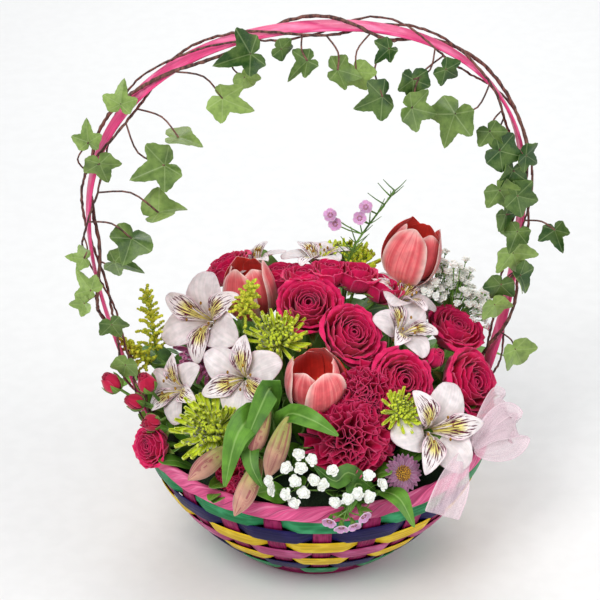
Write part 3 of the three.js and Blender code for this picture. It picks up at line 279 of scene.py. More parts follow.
@dataclass(frozen=True)
class StrandFinish(Finish):
    """Dyed flat strands of fibre: lines along the strand, and lighter blotches at random as painted highlights."""

    colour: str
    # the colour of the painted highlights
    faded: str
    dark: float = 0.55
    lines: float = 0.9  # lines to a millimetre across
    roughness: float = 0.42
    strip: float = 0.0  # width of each lapped strip in millimetres, where there are several

    def lay_out(self, palette: Palette) -> None:
        """Lays out the shader: the mark is (millimetres across, millimetres along, tone)."""
        across, along, tone = palette.place_on_petal()
        lines = palette.noise(palette.vector(across * self.lines, along * 0.025, tone), 1.0, 4.0)
        blotch = palette.noise(palette.vector(across, along * 0.5, tone), 0.12, 2.0)
        strand = palette.mix(lines.rise(0.35, 0.72), shade(self.colour, self.dark), self.colour)
        # Painted highlights: lighter blotches laid at random over the strands.
        highlit = palette.mix(blotch.rise(0.45, 0.75, 0.0, 0.75), strand, self.faded)
        if self.strip:
            highlit = self.lapped(palette, highlit, across.sum("DIVIDE", self.strip))
        roughness = lines.rise(0.2, 0.8, self.roughness + 0.15, self.roughness - 0.08)
        palette.surface(Base_Color=highlit, Roughness=roughness, Specular_IOR_Level=0.12)
        palette.relief(lines, 0.35, 0.7)

    def lapped(self, palette: Palette, colour: Wire, place: Wire) -> Wire:
        """Gives each strip its own depth of colour, and a shadow where the next one laps it.

        Args:
            palette: The material's nodes.
            colour: The colour so far.
            place: The place across, in strips.

        Returns:
            The colour of the strips.
        """
        own = palette.put("ShaderNodeTexWhiteNoise", {"W": place.sum("FLOOR")}, "Value", noise_dimensions="1D")
        edge = place.sum("FRACT").rise(0.0, 0.07, 0.5, 1.0)
        return palette.deepened(colour, own.rise(0.0, 1.0, 0.6, 1.15) * edge)


@dataclass(frozen=True)
class PetalFinish(Finish):
    """A petal: foot, body and margin colours, fine lines along it, and streaks or a dark heart where it has them."""

    foot: str
    body: str
    margin: str
    heart: str = ""  # the colour of the inner face, where it differs
    streak: str = ""  # the colour of short streaks on toned petals
    throat: str = "#EFE05A"  # the colour between the streaks
    lined: float = 0.0  # how strongly the margin colour runs along it in fine lines
    start: float = 0.0  # where along it the body colour begins
    edge: float = 0.75  # how far across the margin colour begins
    spread: float = 0.45  # how much the petals differ in tone, and so how dark the painted shade in a spiral's heart is
    roughness: float = 0.5
    sheen: float = 0.3
    glow: float = 0.12

    def lay_out(self, palette: Palette) -> None:
        """Lays out the shader: the mark is (across, along, tone)."""
        across, along, tone = palette.place_on_petal()
        own_tone = tone.sum("FRACT")
        lines = palette.noise(palette.vector(across * 9.0, along * 0.7, tone * 37.0), 1.0, 4.0)
        cloud = palette.noise(palette.solid_place(), 130.0, 2.0)
        # From the foot colour to the body colour along the petal; the carnation's dark foot is painted shade deep in
        # the flower.
        colour = palette.mix(along.rise(self.start, self.start + 0.45), self.foot, self.body)
        # A lighter margin towards the sides and the tip; on the carnation it is a painted highlight on the ruffled
        # edges.
        rim = abs(across).rise(self.edge, 1.05).sum("MAXIMUM", along.rise(0.3 + self.edge * 0.8, 1.08))
        colour = palette.mix(rim, colour, self.margin)
        colour = palette.mix(lines.rise(0.46, 0.62, 0.0, self.lined), colour, self.margin)
        if self.heart:
            colour = palette.mix(tone.rise(0.96, 1.04), colour, self.heart)
        if self.streak:
            colour = self.streaked(palette, colour, across, along, own_tone)
        # Each petal is darker by its tone: at random, and in spirals on the inner petals as painted shade in the heart.
        depth = own_tone.rise(0.0, 1.0, 1 - self.spread, 1.0) + cloud.rise(0.3, 0.7, -0.1, 0.12)
        colour = palette.deepened(colour, depth * lines.rise(0.3, 0.7, 0.88, 1.05))
        palette.surface(
            Base_Color=colour,
            Roughness=lines.rise(0.2, 0.8, self.roughness + 0.1, self.roughness - 0.05),
            Sheen_Weight=self.sheen,
            Sheen_Roughness=0.4,
            Specular_IOR_Level=0.2,
            Subsurface_Weight=self.glow,
            Subsurface_Radius=(0.004, 0.002, 0.0015),
            Subsurface_Scale=1.0,
        )
        palette.relief(lines, 0.25, 0.5)

    def streaked(self, palette: Palette, colour: Wire, across: Wire, along: Wire, tone: Wire) -> Wire:
        """Draws short dark streaks along the toned petals.

        Args:
            palette: The material's nodes.
            colour: The colour so far.
            across: The place across.
            along: The place along.
            tone: The petal's own tone.

        Returns:
            The colour with the streaks.
        """
        dash = palette.noise(palette.vector(across * 10.0, along * 3.4, tone), 1.9, 1.0).rise(0.52, 0.56)
        inner = tone.rise(0.55, 0.65)
        part = along.rise(0.26, 0.34) * along.rise(0.93, 0.84)
        yellow = inner * abs(across).rise(0.8, 0.3) * along.rise(0.76, 0.6)
        colour = palette.mix(yellow * 0.85, colour, self.throat)
        return palette.mix(dash * inner * part, colour, self.streak)


class Veins(Enum):
    """How a leaf's veins run."""

    ALONG = "along"
    SPREADING = "spreading"


@dataclass(frozen=True)
class LeafFinish(Finish):
    """A leaf: two greens by its tone, lighter veins and a paler underside."""

    deep: str
    bright: str
    vein: str
    veins: Veins = Veins.ALONG
    rib: float = 0.6  # how strongly the ribs show
    roughness: float = 0.42

    def lay_out(self, palette: Palette) -> None:
        """Lays out the shader: the mark is (across, along, tone), or the place on the leaf where its veins spread."""
        across, along, tone = palette.place_on_petal()
        own_tone = tone.sum("FRACT")
        veins = self.along if self.veins is Veins.ALONG else self.spreading
        lines, ribs = veins(palette, across, along, own_tone)
        cloud = palette.noise(palette.solid_place(), 70.0, 4.0)
        share = own_tone.sum("ADD", cloud.rise(0.3, 0.7, -0.22, 0.22), clamp=True)
        colour = palette.mix(share, self.deep, self.bright)
        colour = palette.mix(lines.rise(0.4, 0.7, 0.0, 0.25), colour, shade(self.deep, 0.7))
        colour = palette.mix(ribs * self.rib, colour, self.vein)
        colour = palette.mix(tone.rise(0.96, 1.04, 0.0, 0.35), colour, self.vein)
        palette.surface(
            Base_Color=colour,
            Roughness=cloud.rise(0.3, 0.7, self.roughness - 0.06, self.roughness + 0.14),
            Specular_IOR_Level=0.32,
            Coat_Weight=0.05,
            Coat_Roughness=0.3,
        )
        palette.relief(lines - ribs, 0.3, 0.5)

    def along(self, palette: Palette, across: Wire, along: Wire, tone: Wire) -> tuple[Wire, Wire]:
        """Gives the fine lines and the middle rib of a leaf whose veins run along it."""
        lines = palette.noise(palette.vector(across * 11.0, along * 0.8, tone), 1.0, 3.0)
        return lines, abs(across).rise(0.12, 0.02)

    def spreading(self, palette: Palette, x: Wire, y: Wire, tone: Wire) -> tuple[Wire, Wire]:
        """Gives the fine net and the main ribs of a leaf whose veins spread from its foot.

        Args:
            palette: The material's nodes.
            x: The place towards the tip, as a share of the leaf.
            y: The place to the side.
            tone: The leaf's own tone.

        Returns:
            The net and the ribs.
        """
        ribs, aside, where = None, abs(y), palette.vector(x, y, tone)
        for bearing in (0, 64, 122):
            along, out = cos(radians(bearing)), sin(radians(bearing))
            ahead = x * along + aside * out
            line = abs(aside * along - x * out).rise(0.03, 0.008) * ahead.rise(-0.01, 0.05)
            ribs = ribs.sum("MAXIMUM", line) if ribs else line
        inputs = {"Vector": where, "Scale": 9.0}
        net = palette.put("ShaderNodeTexVoronoi", inputs, "Distance", feature="DISTANCE_TO_EDGE")
        return palette.noise(where, 7.0, 4.0), ribs.sum("MAXIMUM", net.rise(0.07, 0.0) * 0.2)


@dataclass(frozen=True)
class GrainFinish(Finish):
    """A grainy surface: stems, foam, seeds, anthers and plastic, in two colours by a fine pattern in space."""

    colour: str
    second: str
    grain: float = 900.0  # patches to a metre
    relief: float = 0.2
    roughness: float = 0.6
    stretch: float = 1.0  # how much longer the patches are upwards
    glow: float = 0.0

    def lay_out(self, palette: Palette) -> None:
        """Lays out the shader in the piece's own space."""
        tone = palette.place_on_petal()[2]
        inputs = {"Vector": palette.solid_place(), "Scale": (1, 1, 1 / self.stretch)}
        where = palette.put("ShaderNodeMapping", inputs)
        fine = palette.noise(where, self.grain, 4.0)
        broad = palette.noise(where, self.grain / 9, 2.0)
        share = fine.rise(0.35, 0.65).sum("ADD", broad.rise(0.3, 0.7, -0.25, 0.25), clamp=True)
        colour = palette.mix(share, self.second, self.colour)
        palette.surface(
            Base_Color=palette.deepened(colour, tone.sum("FRACT").rise(0.0, 1.0, 0.75, 1.15)),
            Roughness=fine.rise(0.3, 0.7, self.roughness + 0.1, self.roughness - 0.1),
            Subsurface_Weight=self.glow,
            Subsurface_Radius=(0.003, 0.002, 0.0015),
            Subsurface_Scale=1.0,
        )
        palette.relief(fine, self.relief)


@dataclass(frozen=True)
class OrganzaFinish(Finish):
    """Sheer ribbon: fine threads both ways that let the light through, with a closer selvage."""

    colour: str
    threads: float = 1500.0

    def lay_out(self, palette: Palette) -> None:
        """Lays out the shader: the mark is (across, along, tone)."""
        across, along, tone = palette.place_on_petal()
        weave = palette.noise(palette.solid_place(), self.threads, 2.0)
        folds = palette.noise(palette.vector(across * 3.0, along, tone), 2.0, 2.0)
        alpha = folds.rise(0.3, 0.7, 0.3, 0.44) + weave.rise(0.3, 0.7, -0.06, 0.08)
        palette.surface(
            Base_Color=palette.mix(weave.rise(0.3, 0.7), shade(self.colour, 0.85), self.colour),
            Alpha=alpha.sum("ADD", abs(across).rise(0.9, 0.97) * 0.25, clamp=True),
            Roughness=weave.rise(0.3, 0.7, 0.35, 0.5),
            Sheen_Weight=0.6,
            Sheen_Roughness=0.3,
            Specular_IOR_Level=0.6,
        )
        palette.relief(weave, 0.05)


STEM = GrainFinish("stem_green", "#6F9A3C", "#4C7428", grain=260.0, relief=0.12, roughness=0.5, stretch=5.0)
ROSE = PetalFinish("rose_petal", "#B00E48", "#E01E60", "#F0588E", edge=0.84, spread=0.36, sheen=0.15)
ROSE_RED = PetalFinish("rosebud_red", "#8E0F2E", "#BC1540", "#D03A62", edge=0.8)
# The carnation's dark foot is painted shade deep in the flower, and its pale margin a painted highlight on its ruffled
# edges.
CARNATION = PetalFinish(
    "carnation_petal", "#740630", "#C8124E", "#EC5488", edge=0.8, spread=0.25, roughness=0.6, sheen=0.08
)
TULIP = PetalFinish(
    "tulip_petal", "#E87868", "#EC6268", "#FAD2C8", heart="#D8382E", lined=0.2, edge=0.6, spread=0.15, roughness=0.36
)
LIME = PetalFinish("spider_mum_lime", "#BCD42C", "#DCEA3C", "#F0F484", edge=0.9, spread=0.22)
POMPON = PetalFinish("pompon_pink", "#B8588E", "#DC7CB2", "#F0AECF", edge=0.8, spread=0.3)
DAISY = PetalFinish("daisy_mauve", "#6A4058", "#966080", "#B58AA2", edge=0.8, spread=0.35)
ALSTROEMERIA = PetalFinish(
    "alstroemeria_petal", "#D8C8A8", "#F4E8E6", "#EBC8D2", "", "#5A1030", lined=0.15, edge=0.8, spread=0.14,
    roughness=0.4
)
LILY_BUD = PetalFinish(
    "lily_bud", "#B4B464", "#CE9C86", "#9A4A54", lined=0.8, start=0.25, edge=0.9, spread=0.2, roughness=0.4
)
SEPAL = LeafFinish("sepal_green", "#3F6B22", "#7FA23E", "#A9BE6B")
SEED = GrainFinish("goldenrod_seed", "#E0DA3A", "#A6B82C", grain=700.0, roughness=0.75)
BREATH = GrainFinish("babys_breath", "#FBFAF4", "#E8E9DC", grain=500.0, roughness=0.7, glow=0.25)
ANTHER = GrainFinish("anther_ochre", "#C9962E", "#8A5A1C", roughness=0.8)
WAX = PetalFinish("waxflower", "#B25C9E", "#E2A8D6", "#F6DFF0", edge=0.7, spread=0.2, roughness=0.3)
LEAF = LeafFinish("leaf_green", "#2A5216", "#76AE38", "#A4C474", rib=0.4)
IVY_LEAF = LeafFinish("ivy_leaf", "#214410", "#8CA654", "#B4C48C", Veins.SPREADING, 0.22)
IVY_BARK = GrainFinish("ivy_vine", "#7E4F42", "#3C2420", grain=420.0, relief=0.3, roughness=0.7, stretch=3.0)


# ---- Meshes ----


class Growth:
    """A mesh in the making. Each corner carries its place on its petal or leaf (across, along) and a tone."""

    def __init__(self) -> None:
        """Starts an empty mesh."""
        self.bm = bmesh.new()
        self.mark = self.bm.verts.layers.float_vector.new("petal")

    def skin(
        self,
        across: int,
        along: int,
        place: Bend,
        tone: float = 0.5,
        material: int = 0,
        thickness: float = 0.0,
        mark: Callable[[float, float], Point] | None = None,
    ) -> None:
        """Adds a grid bent to shape: a thin sheet where it has a thickness, and a closed body where it has none.

        Args:
            across: Number of cells across.
            along: Number of cells along.
            place: Gives the corner at u across (-1 to 1) and v along (0 to 1), in millimetres.
            tone: The tone that its corners carry; on a sheet's underside it is 1 more.
            material: Which of the piece's materials it has.
            thickness: A sheet's thickness, in millimetres.
            mark: Gives what a corner carries, where that isn't (u, v, tone).
        """
        corners = bmesh.ops.create_grid(self.bm, x_segments=across, y_segments=along, size=1.0)["verts"]
        for corner in corners:
            u, v = corner.co.x, (corner.co.y + 1) / 2
            corner[self.mark] = mark(u, v) if mark else (u, v, tone)
            corner.co = place(u, v) * MM
        faces = list({face for corner in corners for face in corner.link_faces})
        for face in faces:
            face.material_index = material
            face.normal_update()
        for corner in corners:
            corner.normal_update()
        if thickness:
            made = bmesh.ops.solidify(self.bm, geom=faces, thickness=thickness * MM)["geom"]
            top = set(corners)
            for item in made:
                if isinstance(item, bmesh.types.BMVert) and item not in top:
                    item[self.mark] = item[self.mark] + Vector((0, 0, 1))
            return
        bmesh.ops.remove_doubles(self.bm, verts=corners, dist=0.004 * MM)
        open_edges = {edge for corner in corners if corner.is_valid for edge in corner.link_edges if edge.is_boundary}
        if open_edges:
            bmesh.ops.holes_fill(self.bm, edges=list(open_edges), sides=0)

    def tube(
        self,
        points: Sequence[Vector],
        radius: float | Callable[[float, float], float],
        sides: int = 6,
        tone: float = 0.5,
        material: int = 1,
    ) -> None:
        """Adds a closed round bar along points.

        Args:
            points: The middle of the bar, in millimetres.
            radius: Its radius in millimetres, or what gives it at v along (0 to 1) and an angle round it.
            sides: How many corners each section has.
            tone: The tone that its corners carry.
            material: Which of the piece's materials it has.
        """
        last = len(points) - 1
        ahead = [points[min(i + 1, last)] - points[max(i - 1, 0)] for i in range(last + 1)]
        turns = [Vector((0, 0, 1)).rotation_difference(ahead[0])]
        for before, after in zip(ahead, ahead[1:]):
            turns.append(before.rotation_difference(after) @ turns[-1])

        def place(u: float, v: float) -> Vector:
            """Gives a corner of the bar."""
            i = round(v * last)
            angle = pi * (u + 1)
            return points[i] + turns[i] @ polar(radius(v, angle) if callable(radius) else radius, angle)

        self.skin(sides, last, place, tone, material)

    def bead(self, at: Vector, size: float, tone: float = 0.5, material: int = 0, height: float = 1.0) -> None:
        """Adds a small round body.

        Args:
            at: Its middle, in millimetres.
            size: Its radius, in millimetres.
            tone: The tone that its corners carry.
            material: Which of the piece's materials it has.
            height: How tall it is, as a share of its width.
        """
        corners = bmesh.ops.create_icosphere(self.bm, subdivisions=1, radius=1.0)["verts"]
        for corner in corners:
            corner[self.mark] = (corner.co.x, (corner.co.z + 1) / 2, tone)
            corner.co = (at + Vector((corner.co.x, corner.co.y, corner.co.z * height)) * size) * MM
        for face in {face for corner in corners for face in corner.link_faces}:
            face.material_index = material

    def lathe(self, profile: Sequence[Pair], segments: int, steps: int = 1) -> None:
        """Adds a body turned about Z.

        Args:
            profile: Its (radius, height) corners, from the axis out and back to it.
            segments: How many cells go round it.
            steps: How many cells lie between two corners.
        """
        last = len(profile) - 1

        def place(u: float, v: float) -> Vector:
            """Gives a corner of the body."""
            at = v * last
            i = min(int(at + 1e-6), last - 1)
            reach, z = (between(a, b, at - i) for a, b in zip(profile[i], profile[i + 1]))
            return polar(reach, pi * u, z)

        self.skin(segments, last * steps, place, mark=lambda u, v: (v * 90, u * 300, 0.5))

    def finish(self, name: str, finishes: Sequence[Finish], rounds: int = 1) -> bpy.types.Object:
        """Makes the object.

        Args:
            name: The piece's name.
            finishes: Its finishes, in the order that its faces count them.
            rounds: How many times it is smoothed.

        Returns:
            The finished object, at the origin.
        """
        bmesh.ops.recalc_face_normals(self.bm, faces=self.bm.faces[:])
        if not rounds:
            for edge in self.bm.edges:
                edge.smooth = edge.calc_face_angle(0.0) < SHARP
        mesh = bpy.data.meshes.new(name)
        self.bm.to_mesh(mesh)
        self.bm.free()
        for finish in finishes:
            mesh.materials.append(finish.material())
        mesh.polygons.foreach_set("use_smooth", [True] * len(mesh.polygons))
        piece = bpy.data.objects.new(name, mesh)
        bpy.context.scene.collection.objects.link(piece)
        if rounds:
            rounder = piece.modifiers.new("Rounded", "SUBSURF")
            rounder.levels = rounder.render_levels = rounds
        return piece

    def dress(self, node: str, finishes: Sequence[Finish], rounds: int = 1, slot: str = "") -> bpy.types.Object:
        """Makes the piece that takes a solid's place, and reports it.

        Args:
            node: The solid that it stands for.
            finishes: Its finishes, in the order that its faces count them.
            rounds: How many times it is smoothed.
            slot: Not used.

        Returns:
            The piece.
        """
        piece = self.finish(f"{node}_dressed", finishes, rounds)
        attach(piece, BODY)
        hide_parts(node)
        slot or finishes[0].name
        LOG.info("%s: %d faces, for %s", piece.name, len(piece.data.polygons), node)
        return piece


# ---- Petals ----


@dataclass(frozen=True)
class Petal:
    """One petal about its flower's axis, in shares of the flower's radius."""

    path: Sequence[Pair]  # (radius, height) from its foot to its tip
    width: Sequence[float]  # half its width along it
    wrap: float = 0.5  # how far it bends round the flower's axis
    cup: float = 0.0  # how far its sides rise
    tip: float = 0.25  # how far the corners of its tip are cut back
    ruffle: float = 0.0
    waves: float = 3.0
    fringe: float = 0.0  # how deep its margin is toothed

    def towards(self, other: "Petal", share: float) -> "Petal":
        """Gives a petal between this one and another.

        Args:
            other: The other petal.
            share: How near to the other it is, from 0 to 1.

        Returns:
            The petal.
        """

        def mixed(a: object, b: object) -> object:
            """Mixes two numbers, or two rows of them."""
            if isinstance(a, (int, float)):
                return between(a, b, share)
            return tuple(mixed(one, two) for one, two in zip(a, b))

        return Petal(*(mixed(getattr(self, key), getattr(other, key)) for key in self.__dataclass_fields__))

    def point(self, u: float, v: float, phase: float) -> Vector:
        """Gives the place at u across (-1 to 1) and v along (0 to 1).

        Args:
            u: The place across.
            v: The place along.
            phase: Where its ruffles start, in radians.

        Returns:
            The place, with the petal growing towards +X.
        """
        tooth = self.fringe * v**6 * sin(phase + 13.0 * u)
        t = v * (1 - self.tip * abs(u) ** 3) + tooth
        radius, height = curve(self.path, t)
        half = curve([(width,) for width in self.width], t)[0]
        wave = self.ruffle * v * v * sin(self.waves * pi * u + phase)
        low, high = curve(self.path, max(t - 0.06, 0.0)), curve(self.path, min(t + 0.06, 1.0))
        slope = atan2(high[1] - low[1], high[0] - low[0])
        aside = u * half
        bend = min(max(self.wrap * aside / max(radius, 0.06), -2.8), 2.8)
        out = radius - wave * sin(slope) - 0.4 * self.cup * u * u * half
        side = out * sin(bend) + (1 - self.wrap) * aside
        return Vector((out * cos(bend), side, height + self.cup * u * u * half + wave * cos(slope)))


class Seat:
    """Where a flower head sits: its mesh, its middle, its turn, its radius, and its own random numbers."""

    def __init__(self, growth: Growth, at: Point, size: float, facing: Point | None, seed: int) -> None:
        """Works out the turn of a head.

        Args:
            growth: The mesh that it is part of.
            at: The head's middle, in millimetres.
            size: Its radius, in millimetres.
            facing: Which way it looks, or None for away from the middle of the foam.
            seed: The start of its random numbers, and its roll in radians.
        """
        self.growth = growth
        self.at = Vector(at)
        self.size = size
        self.look = (Vector(facing) if facing else self.at - FOCUS).normalized()
        self.turn = Vector((0, 0, 1)).rotation_difference(self.look).to_matrix() @ turned(seed, "Z")
        self.random = random.Random(seed)

    def spot(self, x: float, y: float, z: float) -> Vector:
        """Gives a place in millimetres from shares of the head's radius."""
        return self.at + self.turn @ Vector((x, y, z)) * self.size

    def petal(
        self,
        petal: Petal,
        angle: float,
        cells: tuple[int, int] = (4, 5),
        tone: float | None = None,
        material: int = 0,
        thickness: float = 0.45,
        wild: float = 0.0,
    ) -> None:
        """Adds a petal to the head.

        Args:
            petal: The petal.
            angle: Its bearing round the head, in radians.
            cells: Its cells across and along.
            tone: Its tone, or None for a random one.
            material: Which of the piece's materials it has.
            thickness: Its thickness, in millimetres.
            wild: How far it may tip at random, in radians.
        """
        phase = self.random.uniform(0, 6.28)
        tip = turned(self.random.uniform(-wild, wild), "Y") @ turned(self.random.uniform(-wild, wild), "X")
        spin = self.turn @ turned(angle, "Z") @ tip * self.size
        own = self.random.uniform(0.05, 0.95) if tone is None else tone
        self.growth.skin(*cells, lambda u, v: self.at + spin @ petal.point(u, v, phase), own, material, thickness)

    def spiral(
        self,
        stages: Sequence[Petal],
        count: int,
        cells: tuple[int, int],
        tones: Pair = (0.25, 0.95),
        loose: float = 0.15,
        thickness: float = 0.45,
        wild: float = 0.0,
    ) -> None:
        """Adds petals in a spiral from the heart outwards.

        Args:
            stages: The petals at even steps from the heart to the outside.
            count: How many petals.
            cells: The cells of each across and along.
            tones: The tones of the innermost and the outermost; the lower inner tones are darker, as painted shade in
                the heart.
            loose: How far each is turned at random, in radians.
            thickness: Their thickness, in millimetres.
            wild: How far each may tip at random, in radians.
        """
        for i in range(count):
            share = i / (count - 1)
            place = share * (len(stages) - 1) + self.random.uniform(-0.08, 0.08)
            step = min(max(int(place), 0), len(stages) - 2)
            petal = stages[step].towards(stages[step + 1], place - step)
            angle = i * GOLDEN_ANGLE + self.random.uniform(-loose, loose)
            # Lower tones inward: painted shade in the flower's heart.
            tone = between(*tones, share) + self.random.uniform(-0.12, 0.04)
            self.petal(petal, angle, cells, min(max(tone, 0.02), 0.95), 0, thickness, wild)


# ---- Kinds of flower ----


@dataclass(frozen=True)
class Head:
    """A kind of flower head."""

    finishes: tuple[Finish, ...]
    depth: float  # from its middle down to its stem, as a share of its radius
    rounds: int = 0  # how many times its mesh is smoothed

    def grow(self, seat: Seat) -> None:
        """Adds the head to its mesh.

        Args:
            seat: Where it sits.
        """
        raise NotImplementedError


@dataclass(frozen=True)
class RoseHead(Head):
    """A garden rose: a tight heart, a cupped ring and a wide skirt with rolled margins."""

    finishes: tuple[Finish, ...] = (ROSE, STEM, SEPAL)
    depth: float = 0.5
    petals: int = 30
    cells: tuple[int, int] = (9, 9)
    stages: tuple[Petal, ...] = (
        Petal(
            ((0.02, -0.4), (0.09, -0.2), (0.13, 0.05), (0.13, 0.26), (0.06, 0.36)),
            (0.08, 0.2, 0.24, 0.22, 0.14), 0.96, tip=0.1,
        ),
        Petal(
            ((0.04, -0.52), (0.28, -0.38), (0.42, -0.05), (0.44, 0.3), (0.47, 0.5)),
            (0.14, 0.36, 0.46, 0.46, 0.34), 0.85, 0.02, 0.2, 0.02,
        ),
        Petal(
            ((0.05, -0.58), (0.45, -0.42), (0.74, -0.08), (0.88, 0.18), (1.0, 0.1)),
            (0.16, 0.46, 0.64, 0.62, 0.42), 0.6, 0.1, 0.25, 0.035,
        ),
    )  # fmt: skip
    sepal: Petal = Petal(
        ((0.1, -0.6), (0.36, -0.5), (0.62, -0.42), (0.86, -0.45)), (0.1, 0.12, 0.09, 0.01), 0.3, 0.1, 0.3
    )

    def grow(self, seat: Seat) -> None:
        """Adds the petals over their sepals."""
        seat.spiral(self.stages, self.petals, self.cells)
        for i in range(5):
            seat.petal(self.sepal, i * FIFTH, (4, 6), material=2)


@dataclass(frozen=True)
class CarnationHead(Head):
    """A carnation: many fans with toothed, ruffled margins over a tubular calyx."""

    finishes: tuple[Finish, ...] = (CARNATION, STEM, SEPAL)
    depth: float = 0.68
    petals: int = 40
    stages: tuple[Petal, ...] = (
        Petal(((0.02, -0.4), (0.05, 0.0), (0.1, 0.32), (0.2, 0.62)), (0.05, 0.16, 0.4, 0.58), 0.3, 0.0, 0.1, 0.1, 3.2,
              0.025),
        Petal(
            ((0.04, -0.4), (0.16, -0.02), (0.32, 0.3), (0.52, 0.52)), (0.06, 0.2, 0.46, 0.66), 0.35, 0.0, 0.12, 0.11,
            3.4, 0.025
        ),
        Petal(
            ((0.06, -0.45), (0.36, -0.26), (0.64, 0.0), (0.92, 0.12)), (0.07, 0.26, 0.5, 0.68), 0.4, 0.0, 0.12, 0.11,
            3.6, 0.025
        ),
    )

    def grow(self, seat: Seat) -> None:
        """Adds the fans and the calyx."""
        seat.spiral(self.stages, self.petals, (26, 6), (0.35, 0.95), 0.7, 0.4, 0.32)
        calyx = [seat.spot(0, 0, z) for z in (-0.82, -0.7, -0.5, -0.36)]
        seat.growth.tube(calyx, lambda v, angle: seat.size * between(0.09, 0.19, v), 8, material=2)


@dataclass(frozen=True)
class TulipHead(Head):
    """A tulip: three outer and three inner petals in a tall cup, with its anthers inside."""

    finishes: tuple[Finish, ...] = (TULIP, STEM, SEED)
    depth: float = 0.9
    rounds: int = 1
    flare: float = 0.0  # how far the petals open
    height: float = 1.0
    rings: tuple[Petal, ...] = (
        Petal(
            ((0.06, -1.0), (0.62, -0.82), (0.92, -0.3), (0.93, 0.3), (0.76, 0.82), (0.6, 1.14)),
            (0.2, 0.66, 0.86, 0.82, 0.58, 0.16), 0.86, 0.02, 0.2, 0.03, 1.6,
        ),
        Petal(
            ((0.06, -0.92), (0.54, -0.74), (0.8, -0.25), (0.82, 0.3), (0.66, 0.78), (0.5, 1.04)),
            (0.2, 0.6, 0.76, 0.74, 0.54, 0.14), 0.86, 0.02, 0.2, 0.03, 1.6,
        ),
    )  # fmt: skip

    def grow(self, seat: Seat) -> None:
        """Adds both rings of petals and the anthers."""
        for start, petal in zip((0.0, pi / 3), self.rings):
            path = [(r + self.flare * smooth(-0.2, 1.1, z), z * (self.height if z > 0 else 1)) for r, z in petal.path]
            opened = replace(petal, path=path, wrap=petal.wrap - 0.4 * self.flare)
            for i in range(3):
                seat.petal(opened, start + i * THIRD, (8, 9), thickness=0.6)
        for i in range(6):
            x, y = 0.16 * cos(i), 0.16 * sin(i)
            anther = [seat.spot(x * 0.4, y * 0.4, -0.8), seat.spot(x, y, -0.3), seat.spot(x * 1.3, y * 1.3, 0.1)]
            seat.growth.tube(anther, 0.8, 5, material=2)


@dataclass(frozen=True)
class QuilledHead(Head):
    """A chrysanthemum: many narrow rolled petals, upright in the middle and spreading outside."""

    finishes: tuple[Finish, ...] = (LIME, STEM)
    depth: float = 0.3
    petals: int = 112
    width: float = 1.35
    stages: tuple[Petal, ...] = (
        Petal(
            ((0.03, 0.0), (0.07, 0.2), (0.1, 0.32), (0.08, 0.42), (0.03, 0.44)), (0.02, 0.035, 0.045, 0.05, 0.03),
            0.4, 0.9, 0.5
        ),
        Petal(
            ((0.08, -0.1), (0.3, 0.14), (0.5, 0.38), (0.54, 0.54), (0.44, 0.6)), (0.02, 0.035, 0.045, 0.055, 0.03),
            0.3, 1.0, 0.5
        ),
        Petal(
            ((0.1, -0.22), (0.44, -0.16), (0.84, -0.04), (1.1, 0.06), (1.08, 0.22)),
            (0.025, 0.04, 0.05, 0.065, 0.035), 0.2, 1.0, 0.5,
        ),
    )  # fmt: skip

    def grow(self, seat: Seat) -> None:
        """Adds the quills."""
        stages = [replace(petal, width=[width * self.width for width in petal.width]) for petal in self.stages]
        seat.spiral(stages, self.petals, (4, 6), (0.1, 0.95), 0.3, 0.5, 0.14)


@dataclass(frozen=True)
class DaisyHead(Head):
    """A daisy: two rows of rays round a beaded disc."""

    finishes: tuple[Finish, ...] = (DAISY, STEM, ANTHER)
    depth: float = 0.22
    rounds: int = 1
    rays: int = 22
    beads: int = 60
    ray: Petal = Petal(((0.12, -0.06), (0.4, 0.02), (0.72, 0.1), (1.0, 0.04)), (0.05, 0.09, 0.12, 0.07), 0.2, 0.25, 0.4)

    def grow(self, seat: Seat) -> None:
        """Adds the rays and the disc."""
        for i in range(2 * self.rays):
            length = 1.0 if i % 2 else 0.86
            ray = replace(self.ray, path=[(r * length, z + 0.06 * (i % 2 == 0)) for r, z in self.ray.path])
            seat.petal(ray, i * pi / self.rays + seat.random.uniform(-0.05, 0.05), (2, 4))
        for i in range(self.beads):
            share = (i + 0.5) / self.beads
            reach, angle = 0.36 * sqrt(share), i * GOLDEN_ANGLE
            middle = seat.spot(reach * cos(angle), reach * sin(angle), 0.24 - 0.16 * share)
            seat.growth.bead(middle, 0.055 * seat.size, seat.random.random() * 0.9, 2)


